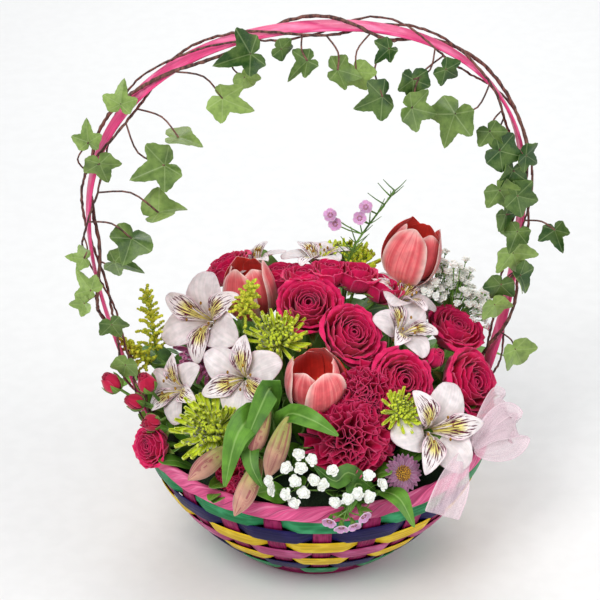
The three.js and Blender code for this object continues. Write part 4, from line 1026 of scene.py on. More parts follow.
@dataclass(frozen=True)
class AlstroemeriaHead(Head):
    """A Peruvian lily: three broad outer petals, three narrower streaked ones and curved anthers."""

    finishes: tuple[Finish, ...] = (ALSTROEMERIA, STEM, ANTHER)
    depth: float = 0.46
    rounds: int = 1
    broad: Petal = Petal(
        ((0.05, -0.5), (0.15, -0.16), (0.38, 0.1), (0.7, 0.2), (1.02, 0.08)),
        (0.05, 0.14, 0.38, 0.54, 0.3), 0.3, 0.14, 0.4, 0.05, 1.6,
    )  # fmt: skip
    narrow: Petal = Petal(
        ((0.05, -0.46), (0.12, -0.1), (0.32, 0.18), (0.64, 0.3), (0.98, 0.22)),
        (0.05, 0.1, 0.25, 0.35, 0.12), 0.3, 0.22, 0.4, 0.04, 1.4,
    )  # fmt: skip
    anther: tuple[Pair, ...] = ((0.04, -0.4), (0.1, -0.05), (0.18, 0.22), (0.28, 0.34))  # (radius, height)

    def grow(self, seat: Seat) -> None:
        """Adds both rings of petals and the anthers."""
        for start, petal, tone in ((0.0, self.broad, 0.25), (pi / 3, self.narrow, 0.8)):
            for i in range(3):
                own = tone + seat.random.uniform(-0.12, 0.12)
                seat.petal(petal, start + i * THIRD, (6, 7), own, 0, 0.5, 0.12)
        for i in range(6):
            angle = i * 1.05 + seat.random.uniform(-0.3, 0.3)
            points = [seat.spot(r * cos(angle), r * sin(angle), z) for r, z in self.anther]
            seat.growth.tube(points, 0.7, 5, 0.25, 0)
            seat.growth.bead(points[-1], 1.4, 0.1, 2, 1.6)


@dataclass(frozen=True)
class BudHead(Head):
    """A rosebud: tight petals in a point, and its sepals."""

    finishes: tuple[Finish, ...] = (ROSE_RED, STEM, SEPAL)
    depth: float = 0.8
    stages: tuple[Petal, ...] = (
        Petal(((0.05, -0.9), (0.3, -0.5), (0.36, 0.0), (0.28, 0.6), (0.05, 1.05)), (0.2, 0.5, 0.6, 0.45, 0.12), 0.98,
              tip=0.1),
        Petal(((0.05, -1.0), (0.6, -0.7), (0.82, -0.1), (0.6, 0.5), (0.46, 0.86)), (0.2, 0.7, 0.95, 0.7, 0.3), 0.95,
              tip=0.15),
    )
    sepal: Petal = Petal(((0.1, -1.0), (0.64, -0.8), (0.9, -0.2), (0.9, 0.3)), (0.2, 0.34, 0.22, 0.03), 0.8, 0.0, 0.2)

    def grow(self, seat: Seat) -> None:
        """Adds the petals and the sepals."""
        seat.spiral(self.stages, 9, (10, 9), (0.3, 0.9))
        for i in range(5):
            seat.petal(self.sepal, i * FIFTH, (6, 6), material=2, thickness=0.6)


@dataclass(frozen=True)
class LilyBudHead(Head):
    """A closed lily bud: a long body with three grooves where its petals meet."""

    finishes: tuple[Finish, ...] = (LILY_BUD, STEM)
    depth: float = 0.9
    rounds: int = 1
    profile: tuple[float, ...] = (0.08, 0.2, 0.28, 0.33, 0.35, 0.32, 0.21, 0.02)
    groove: float = 0.16

    def grow(self, seat: Seat) -> None:
        """Adds the grooved body."""
        widths = [(width,) for width in self.profile]

        def radius(v: float, angle: float) -> float:
            """Gives the bud's radius."""
            return seat.size * curve(widths, v)[0] * (1 - self.groove * abs(cos(1.5 * angle)) ** 6)

        seat.growth.tube([seat.spot(0, 0, i / 7 - 1) for i in range(15)], radius, 18, seat.random.random() * 0.9, 0)


@dataclass(frozen=True)
class PlumeHead(Head):
    """A goldenrod plume: seed-like florets on short arching branchlets up a stalk."""

    finishes: tuple[Finish, ...] = (SEED, STEM)
    depth: float = 0.9
    branchlets: int = 38
    florets: int = 9
    reach: float = 0.5
    bead: float = 1.45  # millimetres

    def grow(self, seat: Seat) -> None:
        """Adds the stalk and its florets."""
        stalk = [seat.spot(0, 0, z) for z in (-1, -0.3, 0.4, 0.96)]
        seat.growth.tube(stalk, lambda v, angle: between(1.1, 0.5, v), 5)
        for i in range(self.branchlets):
            share = i / (self.branchlets - 1)
            foot, angle = between(-0.85, 0.85, share), i * GOLDEN_ANGLE
            reach = self.reach * (1 - 0.72 * share) * seat.random.uniform(0.75, 1.0)
            for k in range(1, self.florets + 1):
                out = reach * k / self.florets
                middle = seat.spot(out * cos(angle), out * sin(angle), foot + 1.2 * out - 1.6 * out * out)
                middle += scatter(seat.random, 0.6)
                seat.growth.bead(middle, self.bead * seat.random.uniform(0.8, 1.2), seat.random.random() * 0.9)


# ---- Blooms on their stems ----

FOCUS = Vector((0, 0, 70))
ROOT_SPREAD, ROOT_HEIGHT = 0.42, 84.0


def root_below(point: Vector) -> Vector:
    """Gives where a stem's root lies in the foam, in millimetres."""
    return Vector((point.x * ROOT_SPREAD, point.y * ROOT_SPREAD, ROOT_HEIGHT))


@dataclass
class Bloom:
    """A flower head on its stem, or several on the branches of one stalk."""

    name: str
    kind: Head
    heads: Sequence[tuple[Point, float, Point | None, int]]  # middle, radius, which way it looks, seed
    fork: Point | None = None
    swell: float = 1.0  # how much wider than its solid the open flower is
    branch: float = 1.4
    stem: float = 2.3

    def build(self) -> None:
        """Grows the heads and their stems, and dresses them."""
        growth = Growth()
        for at, size, facing, seed in self.heads:
            seat = Seat(growth, at, size * self.swell, facing, seed)
            self.kind.grow(seat)
            base = seat.spot(0, 0, -self.kind.depth)
            lower = Vector(self.fork) if self.fork else root_below(base)
            bow = base - seat.look * 0.25 * (base - lower).length
            line = (base + seat.look * 2, bow.lerp(base.lerp(lower, 0.5), 0.6), lower)
            growth.tube(bent(line, 6), self.branch if self.fork else self.stem)
        if self.fork:
            fork = Vector(self.fork)
            growth.tube([fork + Vector((0, 0, 1)), fork.lerp(root_below(fork), 0.5), root_below(fork)], self.stem)
        growth.dress(self.name, self.kind.finishes, self.kind.rounds)


ROSE_KIND, CARNATION_KIND, SPIDER = RoseHead(), CarnationHead(), QuilledHead()
ALSTRO, PLUME = AlstroemeriaHead(), PlumeHead()
HALF_OPEN = QuilledHead(petals=80, width=1.7)
PINK_POMPON = QuilledHead((POMPON, STEM), petals=110, width=1.8)
BLOOMS = (
    Bloom("rose_front_right", ROSE_KIND, [((57, -70, 186), 26, (0.3, -0.75, 0.6), 2)], swell=1.14),
    Bloom("rose_right", ROSE_KIND, [((121, -42, 160), 30, (0.65, -0.55, 0.5), 3)], swell=1.12),
    Bloom("rose_right_cup", ROSE_KIND, [((120, 4, 184), 21, (0.35, -0.25, 0.9), 4)], swell=1.3),
    Bloom("rose_centre", ROSE_KIND, [((20, -40, 216), 24, (0.35, -0.55, 0.75), 5)], swell=1.3),
    Bloom("rose_centre_back", ROSE_KIND, [((-8, -6, 226), 22, (-0.05, -0.45, 0.9), 6)], swell=1.4),
    Bloom("rose_left_rim", ROSE_KIND, [((-146, -48, 133), 19, (-0.8, -0.55, 0.3), 9)], swell=1.08),
    Bloom(
        "roses_back_spray", RoseHead(petals=17, cells=(8, 8)),
        [((-6, 26, 236), 13, None, 11), ((16, 24, 240), 13, None, 12), ((38, 20, 236), 14, None, 13),
         ((58, 14, 226), 13, None, 14)],
        (26, 22, 196), 1.65,
    ),
    Bloom(
        "roses_back_left", ROSE_KIND,
        [((-22, 48, 226), 20, (-0.1, 0.2, 1), 7), ((-62, 78, 222), 21, (-0.4, 0.3, 0.8), 8)], (-40, 56, 176), 1.15,
    ),
    Bloom("rosebud_right", BudHead((ROSE, STEM, SEPAL)), [((92, -44, 190), 11, (0.3, -0.5, 0.8), 15)]),
    Bloom(
        "rosebuds_left", BudHead(),
        [
            ((-176, -22, 182), 10, (-0.6, 0, 0.8), 16), ((-148, -30, 184), 10, (-0.3, -0.2, 0.9), 17),
            ((-158, -24, 162), 9, (-0.8, -0.1, 0.5), 18), ((-148, -52, 158), 9, (-0.6, -0.6, 0.4), 19),
        ],
        (-126, -26, 148),
    ),
    Bloom("carnation_front", CARNATION_KIND, [((9, -100, 156), 37, (0.05, -0.75, 0.65), 21)], swell=1.1),
    Bloom("carnation_upper", CARNATION_KIND, [((29, -76, 182), 29, (0.25, -0.6, 0.75), 22)], swell=1.03),
    Bloom("carnation_dark_left", CarnationHead(petals=30), [((-84, -102, 134), 20, None, 23)]),
    Bloom("tulip_tall", TulipHead(height=0.98), [((90, 40, 242), 26, (0.3, 0.05, 0.95), 25)]),
    Bloom("tulip_centre", TulipHead(flare=0.05, height=0.85), [((-15, -74, 196), 26, (-0.05, -0.2, 0.97), 26)]),
    Bloom("tulip_left", TulipHead(height=1.1), [((-50, 34, 222), 24, (-0.15, 0.1, 1), 27)]),
    Bloom("spider_mum_centre", SPIDER, [((-38, -31, 214), 30, (-0.2, -0.5, 0.84), 31)], swell=0.92),
    Bloom("spider_mum_left", SPIDER, [((-100, -74, 160), 33, (-0.4, -0.6, 0.7), 32)]),
    Bloom("spider_mum_back", SPIDER, [((38, 60, 226), 26, (0.1, -0.1, 1), 33)], swell=1.1),
    Bloom("spider_mum_half_open", HALF_OPEN, [((51, -101, 178), 17, (0.3, -0.7, 0.7), 34)], swell=1.15),
    Bloom("pompon_pink_left", PINK_POMPON, [((-92, 4, 184), 20, (-0.5, -0.6, 0.6), 51)], swell=1.35),
    Bloom("daisy_mauve_front", DaisyHead(), [((48, -128, 136), 19, (0.2, -0.85, 0.5), 52)]),
    Bloom("alstroemeria_front_right", ALSTRO, [((80, -100, 156), 42, (0.2, -0.8, 0.55), 41)]),
    Bloom("alstroemeria_left", ALSTRO, [((-72, -56, 196), 36, (-0.35, -0.75, 0.55), 42)]),
    Bloom("alstroemeria_upper_left", ALSTRO, [((-92, 12, 214), 40, (-0.5, -0.6, 0.6), 43)]),
    Bloom("alstroemeria_side_left", ALSTRO, [((-122, -26, 172), 30, (-0.75, -0.4, 0.5), 44)]),
    Bloom(
        "alstroemeria_right_pair", ALSTRO,
        [((68, -26, 208), 24, (0.4, -0.4, 0.8), 45), ((74, 10, 218), 25, (0.5, 0, 0.85), 46)], (60, -8, 176), 1.3,
    ),
    Bloom(
        "alstroemeria_back_pair", ALSTRO,
        [((12, 60, 234), 26, (0, 0.2, 1), 47), ((-40, 76, 226), 24, (-0.3, 0.3, 0.9), 48)], (-14, 62, 186), 1.2,
    ),
    Bloom(
        "lily_buds", LilyBudHead(),
        [
            ((-108, -110, 152), 26, (-0.6, -0.5, -0.1), 61), ((-80, -132, 140), 27, (-0.45, -0.6, -0.45), 62),
            ((-54, -124, 170), 27, (-0.4, -0.35, -0.85), 63), ((-66, -108, 178), 24, (-0.35, -0.35, -0.85), 64),
        ],
        (-50, -94, 142), branch=1.8,
    ),
    Bloom(
        "goldenrod_left", PLUME,
        [((-136, 28, 206), 34, (-0.1, 0.1, 1), 151), ((-150, 10, 188), 24, (-0.6, -0.3, 0.8), 152)], (-126, 20, 168),
    ),
    Bloom("goldenrod_centre", PlumeHead(reach=0.8), [((-60, -12, 242), 21, (0.15, -0.2, 1), 153)], (-64, -6, 196)),
)  # fmt: skip


# ---- Basket ----


@dataclass
class Weaver:
    """One dyed strip woven round the stakes, outside one and inside the next."""

    name: str
    finish: Finish
    low: float
    high: float
    outside_even: bool


# Each strand's second colour is its painted highlight.
MAGENTA = StrandFinish("stake_magenta", "#961A56", "#AC2E68")
GREEN = StrandFinish("weave_green", "#2A8C54", "#4CAC78")
NAVY = StrandFinish("weave_navy", "#170F4A", "#241C5C", 0.7)
YELLOW = StrandFinish("weave_yellow", "#E8C018", "#F2D640", 0.7)
PINK = StrandFinish("weave_pink", "#B8447A", "#D070A0", 0.65)
RIM_PINK = StrandFinish("rim_pink", "#E85C92", "#FF98BE", 0.72, 0.7, strip=41.0)
HANDLE_PINK = StrandFinish("handle_pink", "#EA4A84", "#FF8AB6", 0.8, 0.85, 0.34)
LINER = GrainFinish("liner_plastic", "#1F2A22", "#141A16", 300.0, 0.05, 0.35)
# The foam's dark green is darkened nearly to black, as painted shade in the gaps between the flowers.
FOAM = GrainFinish("floral_foam", "#22381E", "#101C0E", 1500.0, 0.5, 0.95)


@dataclass
class Basket:
    """The woven wall on its base, the wrapped rim, the hoop handle, the liner and the foam."""

    stakes: int = 22
    base_radius: float = 68.0
    top_radius: float = 146.5
    swell_height: float = 115.0
    swell_power: float = 1.7
    stake_half: float = 8.0
    stake_top: float = 106.5
    strand: float = 1.6  # thickness of a stake or a weaver
    weave: float = 2.1  # how far a weaver passes outside or inside the stakes
    rim_inner: float = 144.2
    rim_outer: float = 150.4
    rim_low: float = 107.5
    rim_high: float = 123.4
    rim_wraps: int = 22
    rim_relief: float = 1.4
    handle_width: float = 20.0
    handle_thickness: float = 3.0
    handle_offset: float = 4.8
    handle_foot: float = 30.0
    levels: tuple[float, ...] = (26, 40.7, 60, 80.7)  # heights that the liner and the foam follow the wall at
    weavers: tuple[Weaver, ...] = (
        Weaver("weaver_green_bottom", GREEN, 14, 26.8, True),
        Weaver("weaver_navy_lower", NAVY, 27.6, 40.4, False),
        Weaver("weaver_yellow_lower", YELLOW, 41, 52.9, True),
        Weaver("weaver_pink_middle", PINK, 53.7, 66.4, False),
        Weaver("weaver_yellow_upper", YELLOW, 67, 80.3, True),
        Weaver("weaver_navy_upper", NAVY, 81.1, 95.6, False),
        Weaver("weaver_green_top", GREEN, 96.2, 108, True),
    )

    def build(self) -> None:
        """Makes each part of the basket."""
        self.stake_piece()
        for weaver in self.weavers:
            self.weaver_piece(weaver)
        self.rim_piece()
        self.handle_piece()
        outer = [(self.radius(z) - 7.4, z) for z in (*self.levels, 92, 102)]
        inner = [(radius - 1.6, max(z, 28.0)) for radius, z in reversed(outer)]
        bowl = [(0, 6), (50, 6), (66, 10), *outer, *inner, (64, 12), (48, 7.8), (0, 7.8)]
        self.lathed("liner_bowl", LINER, bowl, 44, "liner")
        body = [(self.radius(z) - 9.8, z) for z in (*self.levels, 101)]
        dome = [(131 * share, 107 + 27 * sqrt(1 - share * share)) for share in (1, 0.93, 0.8, 0.62, 0.4, 0.2, 0)]
        self.lathed("floral_foam", FOAM, [(0, 8.4), (46, 8.4), (60, 12), *body, *dome], 48, "foam")

    def lathed(self, name: str, finish: Finish, profile: Sequence[Pair], segments: int, slot: str) -> None:
        """Makes a piece that is turned about Z: the liner's bowl or the foam."""
        growth = Growth()
        growth.lathe(profile, segments)
        growth.dress(name, [finish], slot=slot)

    def radius(self, z: float) -> float:
        """Gives the radius of the wall's middle at a height."""
        share = min(max(z / self.swell_height, 0.0), 1.0)
        return self.base_radius + (self.top_radius - self.base_radius) * (1 - (1 - share) ** self.swell_power)

    def wall(self, angle: float, z: float, out: float, aside: float = 0.0) -> Vector:
        """Gives a place at the wall.

        Args:
            angle: Its bearing, in radians.
            z: Its height.
            out: How far outside the wall's middle it lies.
            aside: How far along the wall from the bearing it lies.

        Returns:
            The place, in millimetres.
        """
        slope = (self.radius(z + 1) - self.radius(z - 1)) / 2
        share = out / hypot(1, slope)
        reach = self.radius(z) + share
        return Vector((
            cos(angle) * reach - sin(angle) * aside,
            sin(angle) * reach + cos(angle) * aside,
            z - share * slope,
        ))

    def stake_piece(self) -> None:
        """Makes the stakes and the base that they stand in."""
        growth = Growth()
        for stake in range(self.stakes):
            angle = stake / self.stakes * 2 * pi

            def place(u: float, v: float) -> Vector:
                """Gives a corner of a stake, which is crowned across."""
                out = self.strand / 2 - 0.5 * u * u
                return self.wall(angle, between(3, self.stake_top, v), out, u * self.stake_half)

            def mark(u: float, v: float) -> Point:
                """Gives the place across and along the stake, in millimetres."""
                return (u * self.stake_half, between(0, 130, v), stake * 0.37 % 1)

            growth.skin(4, 14, place, thickness=self.strand, mark=mark)
        growth.lathe([(0.0, 0.0), (66, 0), (72.5, 0.4), (74, 2.6), (73, 5), (60, 5), (0, 5)], 66, 3)
        growth.dress("basket_base_and_stakes", [MAGENTA])

    def weaver_piece(self, weaver: Weaver) -> None:
        """Makes one woven strip.

        Args:
            weaver: Which one.
        """
        growth = Growth()
        middle, half = (weaver.low + weaver.high) / 2, (weaver.high - weaver.low) / 2
        side = 1 if weaver.outside_even else -1

        def place(u: float, v: float) -> Vector:
            """Gives a corner of the strip: u goes round its section and v round the basket."""
            angle, turn = pi * (u + 1), 2 * pi * (v + 0.25)
            lap = 2 * smooth(-0.85, -0.1, side * cos(turn * self.stakes / 2)) - 1
            up = half * (1.1 + 0.1 * lap) * squared(cos(angle), 0.7)
            ribs = 1 + 0.22 * cos(3 * pi * up / half)
            return self.wall(turn, middle + up, self.weave * lap + 0.5 * self.strand * ribs * squared(sin(angle), 0.6))

        def mark(u: float, v: float) -> Point:
            """Gives the place across and along the strip, in millimetres."""
            return (half * cos(pi * (u + 1)), 2 * pi * v * 120, 0.5 + 0.4 * sin(5 * v))

        growth.skin(14, self.stakes * 8, place, mark=mark)
        growth.dress(weaver.name, [weaver.finish])

    def rim_piece(self) -> None:
        """Makes the rim: strips wrapped aslant over a hoop, each lapping the one before."""
        growth = Growth()
        middle, width = (self.rim_inner + self.rim_outer) / 2, (self.rim_outer - self.rim_inner) / 2
        level, half = (self.rim_low + self.rim_high) / 2, (self.rim_high - self.rim_low) / 2
        pitch = 2 * pi * self.rim_outer / self.rim_wraps

        def place(u: float, v: float) -> Vector:
            """Gives a corner of the rim: u goes round its section and v round the basket."""
            lap = self.rim_relief * (1 - (self.rim_wraps * v - u) % 1) ** 0.8
            out = (width - lap) * squared(cos(pi * u), 0.5)
            return polar(middle + out, 2 * pi * (v + 0.25), level + (half - lap) * squared(sin(pi * u), 0.6))

        growth.skin(20, self.rim_wraps * 10, place, mark=lambda u, v: (pitch * (self.rim_wraps * v - u), 24 * u, 0.5))
        growth.dress("rim_wrapped", [RIM_PINK])

    def handle_piece(self) -> None:
        """Makes the handle: one flat band from inside the wall over the top and down again."""
        growth = Growth()
        feet = [self.wall(0, between(self.handle_foot, 105, i / 6), -self.handle_offset) for i in range(7)]
        line = [Vector((-point.x, 0, point.z)) for point in feet]
        line += [Hoop.middle(i / 40 - 1) for i in range(81)] + feet[::-1]
        last = len(line) - 1

        def place(u: float, v: float) -> Vector:
            """Gives a corner of the band: u goes round its section and v along it."""
            i = round(v * last)
            ahead = (line[min(i + 1, last)] - line[max(i - 1, 0)]).normalized()
            angle = pi * (u + 1)
            out = self.handle_thickness / 2 * squared(sin(angle), 0.7)
            return line[i] + Vector((-ahead.z * out, self.handle_width / 2 * squared(cos(angle), 0.35), ahead.x * out))

        growth.skin(20, last, place, mark=lambda u, v: (10 * cos(pi * (u + 1)), 900 * v, 0.6))
        growth.dress("handle_band", [HANDLE_PINK])


# ---- Hoop and ivy ----


class Hoop:
    """The line of the handle above the rim, and of the vines round it."""

    half_width, foot_inset, shoulder, crown = 180.0, 39.2, 195.0, 160.0
    lower, upper, lean, start = 1.8, 2.2, 7.0, 125.0
    vine_outside, vine_inside, vine_aside, vine_turns = 6.0, 6.5, 13.6, 5

    @classmethod
    def middle(cls, t: float) -> Vector:
        """Gives the middle of the band.

        Args:
            t: Where along it, from -1 at the left of the rim over the top at 0 to 1 at the right.

        Returns:
            The place, in millimetres.
        """
        share = abs(t)
        if share > 0.5:
            z = 2 * (1 - share) * cls.shoulder
            x = cls.half_width - cls.foot_inset * (1 - z / cls.shoulder) ** cls.lower
        else:
            angle = (0.5 - share) * pi
            x = cls.half_width * max(cos(angle), 0.0) ** (2 / cls.upper)
            z = cls.shoulder + cls.crown * sin(angle) ** (2 / cls.upper)
        lean = cls.lean * smooth(0, cls.shoulder, z)
        return Vector((copysign(x, t if t else 1) - lean, 0, cls.start + z))

    @classmethod
    def vine(cls, t: float, phase: float, spread: float = 1.0) -> Vector:
        """Gives a place on a vine twined round the band.

        Args:
            t: Where along the band.
            phase: Where round the band it starts, in radians.
            spread: How wide it twines.

        Returns:
            The place, in millimetres.
        """
        ahead = (cls.middle(min(t + 0.01, 1)) - cls.middle(max(t - 0.01, -1))).normalized()
        angle = phase + t * cls.vine_turns * pi
        out = sin(angle)
        out *= cls.vine_outside if out > 0 else cls.vine_inside
        out *= spread
        return cls.middle(t) + Vector((-ahead.z * out, cls.vine_aside * cos(angle), ahead.x * out))


class Plant:
    """A piece grown as one mesh from its own random numbers."""

    name: str
    finishes: tuple[Finish, ...] = (LEAF, STEM)
    rounds, slot = 0, ""

    def build(self) -> None:
        """Grows the piece, and dresses it."""
        growth = Growth()
        self.grow(growth, random.Random(self.name))
        growth.dress(self.name, self.finishes, self.rounds, self.slot)


@dataclass
class IvyShoot(Plant):
    """A length of vine with its leaves on thin curved stalks."""

    name: str
    start: float
    end: float
    leaves: Sequence[tuple[Point, float, float, float]]  # foot, size, where the tip points, how far the face leans
    tones: Sequence[float] = (0.05, 0.1, 0.16, 0.2, 0.28, 0.36, 0.5, 0.93)
    radius: float = 1.5
    strands: Sequence[Point] = ((0.0, 1.0, 1.0), (2.5, 0.9, 0.75), (4.3, 1.15, 0.6))  # phase, spread, radius
    outline: tuple[Pair, ...] = (
        (0, 1.1), (12, 0.86), (25, 0.64), (36, 0.54), (47, 0.62), (59, 0.8), (66, 0.86), (76, 0.76),
        (95, 0.6), (108, 0.58), (122, 0.6), (135, 0.52), (160, 0.38), (175, 0.2), (180, 0.13),
    )  # fmt: skip
    slot = "ivy"
    finishes = (IVY_LEAF, IVY_BARK)

    def grow(self, growth: Growth, chance: random.Random) -> None:
        """Grows the vine and its leaves.

        Args:
            growth: The mesh.
            chance: The random numbers.
        """
        steps = max(12, round((self.end - self.start) * 160))
        lines = []
        for phase, spread, share in self.strands:
            own = [between(self.start - 0.006, self.end + 0.006, i / steps) for i in range(steps + 1)]
            turns = [2.6 * smooth(-0.1, 0.2, t) + phase + 0.5 * sin(9 * t + phase) for t in own]
            line = [Hoop.vine(t, turn, spread + 0.12 * sin(31 * t + phase)) for t, turn in zip(own, turns)]
            line = [point + scatter(chance, 0.4) for point in line]
            growth.tube(line, lambda v, angle: self.radius * share * (1 + 0.12 * sin(60 * v)), 8)
            lines += line
        for foot, size, tip, lean in self.leaves:
            base = Vector(foot)
            start = min(lines, key=lambda point: (point - base).length + (30 if point.y > 4 else 0))
            away = (base - start).cross(Vector((0, 1, 0))) * chance.choice((-0.22, 0.22))
            bend = start.lerp(base, 0.5) + away + Vector((0, -2.5, 0))
            growth.tube(bent((start, bend, base), 8), 0.75)
            self.leaf(growth, base, size, tip, lean, chance)

    def reach(self, bearing: float) -> float:
        """Gives how far the leaf's margin lies from its foot at an angle from its tip.

        Args:
            bearing: The angle, in degrees.

        Returns:
            The distance, as a share of the leaf's size.
        """
        for (low, near), (high, far) in zip(self.outline, self.outline[1:]):
            if bearing <= high:
                return between(near, far, smooth(low, high, bearing))
        return self.outline[-1][1]

    def leaf(self, growth: Growth, base: Vector, size: float, tip: float, lean: float, chance: random.Random) -> None:
        """Adds a lobed leaf.

        Args:
            growth: The mesh.
            base: Where its stalk meets it, in millimetres.
            size: From there to its tip.
            tip: Where the tip points in the hoop's plane, in degrees from +X.
            lean: How far its face leans back, in degrees.
            chance: The random numbers.
        """
        turn = turned(radians(90 - lean), "X") @ turned(radians(tip), "Z")
        turn = turn @ turned(chance.uniform(-0.7, 0.7), "X") @ turned(chance.uniform(-0.3, 0.5), "Y")
        cup, curl, sway = chance.uniform(0.08, 0.3), chance.uniform(0.06, 0.15), chance.uniform(0, 6)
        fold, lobes = chance.uniform(0.12, 0.7), chance.uniform(0.5, 1.2)
        tone = chance.choice(self.tones)

        def flat(u: float, v: float) -> Vector:
            """Gives the place on the flattened leaf, as a share of its size."""
            x, y = u, 2 * v - 1
            angle = atan2(y, x)
            return polar(self.reach(abs(degrees(angle))) ** lobes * max(abs(x), abs(y)), angle)

        def place(u: float, v: float) -> Vector:
            """Gives the place on the leaf."""
            spot = flat(u, v)
            far = spot.length
            wave = curl * far * sin(3 * atan2(spot.y, spot.x) + sway) + fold * abs(spot.y)
            spot.z = -cup * far + wave - 0.16 * max(spot.x, 0) ** 2
            return base + turn @ (spot * size)

        def mark(u: float, v: float) -> Point:
            """Gives what its corners carry: their place on the flattened leaf, and its tone."""
            spot = flat(u, v)
            return (spot.x, spot.y, tone)

        growth.skin(20, 20, place, thickness=0.6, mark=mark)


PALE = (0.3, 0.5, 0.7, 0.85, 0.93)
IVY = (
    IvyShoot(
        "ivy_left_low", -0.99, -0.66,
        [((-174, -26, 240), 17, -70, 10), ((-196, -26, 262), 13, 190, 20), ((-190, -29, 276), 17, 130, 30),
         ((-164, -26, 200), 14, -110, 15)],
        PALE,
    ),
    IvyShoot(
        "ivy_left_middle", -0.655, -0.42,
        [
            ((-194, -25, 303), 14, 170, 10), ((-170, -30, 300), 22, -20, 50), ((-156, -33, 322), 21, -110, 62),
            ((-134, -34, 344), 22, 10, 72), ((-186, -26, 407), 17, 95, 15), ((-178, -27, 388), 20, -80, 20),
        ],
        PALE,
    ),
    IvyShoot(
        "ivy_left_high", -0.415, -0.2,
        [((-128, -35, 386), 26, 200, 66), ((-116, -32, 408), 19, -10, 66), ((-160, -27, 438), 18, 80, 20),
         ((-80, -26, 436), 25, -30, 25)],
        PALE,
    ),
    IvyShoot(
        "ivy_top_left", -0.195, 0.03,
        [
            ((-58, -30, 474), 26, -170, 25), ((-62, -25, 452), 13, -60, 10), ((-33, -25, 474), 12, -20, 10),
            ((-14, -33, 466), 20, 190, 55), ((10, -33, 456), 20, -10, 50),
        ],
    ),
    IvyShoot(
        "ivy_top_right", 0.04, 0.26,
        [
            ((26, -27, 450), 18, -70, 20), ((46, -33, 430), 22, 200, 45), ((70, -33, 418), 22, -20, 45),
            ((72, -27, 440), 18, -90, 15), ((52, -27, 468), 15, -150, 20), ((98, -26, 446), 16, -40, 10),
        ],
    ),
    IvyShoot(
        "ivy_right_high", 0.265, 0.47,
        [
            ((106, -29, 408), 27, -120, 20), ((136, -26, 388), 17, -60, 15), ((144, -30, 372), 20, -20, 35),
            ((156, -28, 352), 20, -100, 20), ((146, -26, 334), 20, -60, 10), ((166, -30, 366), 17, -30, 30),
            ((160, -31, 330), 19, -20, 35),
        ],
    ),
    IvyShoot(
        "ivy_right_low", 0.475, 0.99,
        [
            ((152, -28, 312), 19, -60, 20), ((194, -29, 294), 18, -80, 30), ((160, -26, 274), 25, -70, 10),
            ((150, -29, 246), 17, -110, 30), ((146, -27, 226), 17, -70, 20), ((166, -27, 180), 20, -60, 15),
            ((166, -30, 254), 19, -40, 25), ((162, -30, 296), 17, -120, 25),
        ],
    ),
)  # fmt: skip


# ---- Leaves among the flowers ----


@dataclass
class LeafBunch(Plant):
    """Long leaves on one stalk, with smaller ones from the foam beside them."""

    name: str
    top: Point
    leaves: Sequence[tuple[Sequence[Point], float, Point]]  # points after the stalk, width, which way it faces
    bearings: Pair  # the part of the foam that its smaller leaves come from, in degrees
    fillers: int
    spacing: float = 5.0

    def grow(self, growth: Growth, chance: random.Random) -> None:
        """Grows the stalk and the leaves.

        Args:
            growth: The mesh.
            chance: The random numbers.
        """
        crown = Vector(self.top)
        root = root_below(crown)
        down = (root - crown).normalized()
        growth.tube([crown, crown.lerp(root, 0.5), root], 2.2)
        for i, (points, width, facing) in enumerate(self.leaves):
            start = crown + down * (1 + i * self.spacing)
            self.leaf(growth, [start, *(Vector(point) for point in points)], width, Vector(facing), chance)
        for i in range(self.fillers):
            self.filler(growth, (i + 0.5) / self.fillers, chance)

    def leaf(
        self, growth: Growth, points: Sequence[Vector], width: float, facing: Vector, chance: random.Random
    ) -> None:
        """Adds a long leaf, folded along its rib.

        Args:
            growth: The mesh.
            points: Where it goes, in millimetres.
            width: Its width.
            facing: Which way its upper face looks.
            chance: The random numbers.
        """
        up = facing.normalized()
        sway, tone = chance.uniform(0, 6), chance.uniform(0.15, 0.85)

        def place(u: float, v: float) -> Vector:
            """Gives a corner of the leaf."""
            spot, _, side = strip(points, up, v)
            half = width / 2 * max(sin(pi * 0.97 * v**0.8), 0.04)
            lift = 0.22 * abs(u) * half + 0.05 * width * sin(5 * v + sway) * u
            return spot + side * u * half + up * lift

        growth.skin(6, 14, place, tone, 0, 0.7)

    def filler(self, growth: Growth, share: float, chance: random.Random) -> None:
        """Adds a smaller leaf that comes out of the foam.

        Args:
            growth: The mesh.
            share: Which of them it is, from 0 to 1.
            chance: The random numbers.
        """
        angle = radians(between(*self.bearings, (share * 7.0) % 1))
        reach = between(24, 130, chance.random() ** 0.6)
        outer = reach / 130
        out = polar(1, angle)
        start = out * reach + Vector((0, 0, 100 + 30 * sqrt(1 - (reach / 134) ** 2)))
        turn = turned(chance.uniform(-0.8, 0.8), "Z")
        rise = between(3.0, 0.5, outer) * chance.uniform(0.8, 1.3)
        length = between(84, 40, outer) * chance.uniform(0.75, 1.05)
        along = (turn @ out + Vector((0, 0, rise))).normalized()
        tip = start + along * length - Vector((0, 0, 0.16 * length))
        middle = start + along * length * 0.55
        width = between(24, 17, outer) * chance.uniform(0.75, 1.1)
        self.leaf(growth, [start, middle, tip], width, Vector((out.x, out.y, 1.2)), chance)


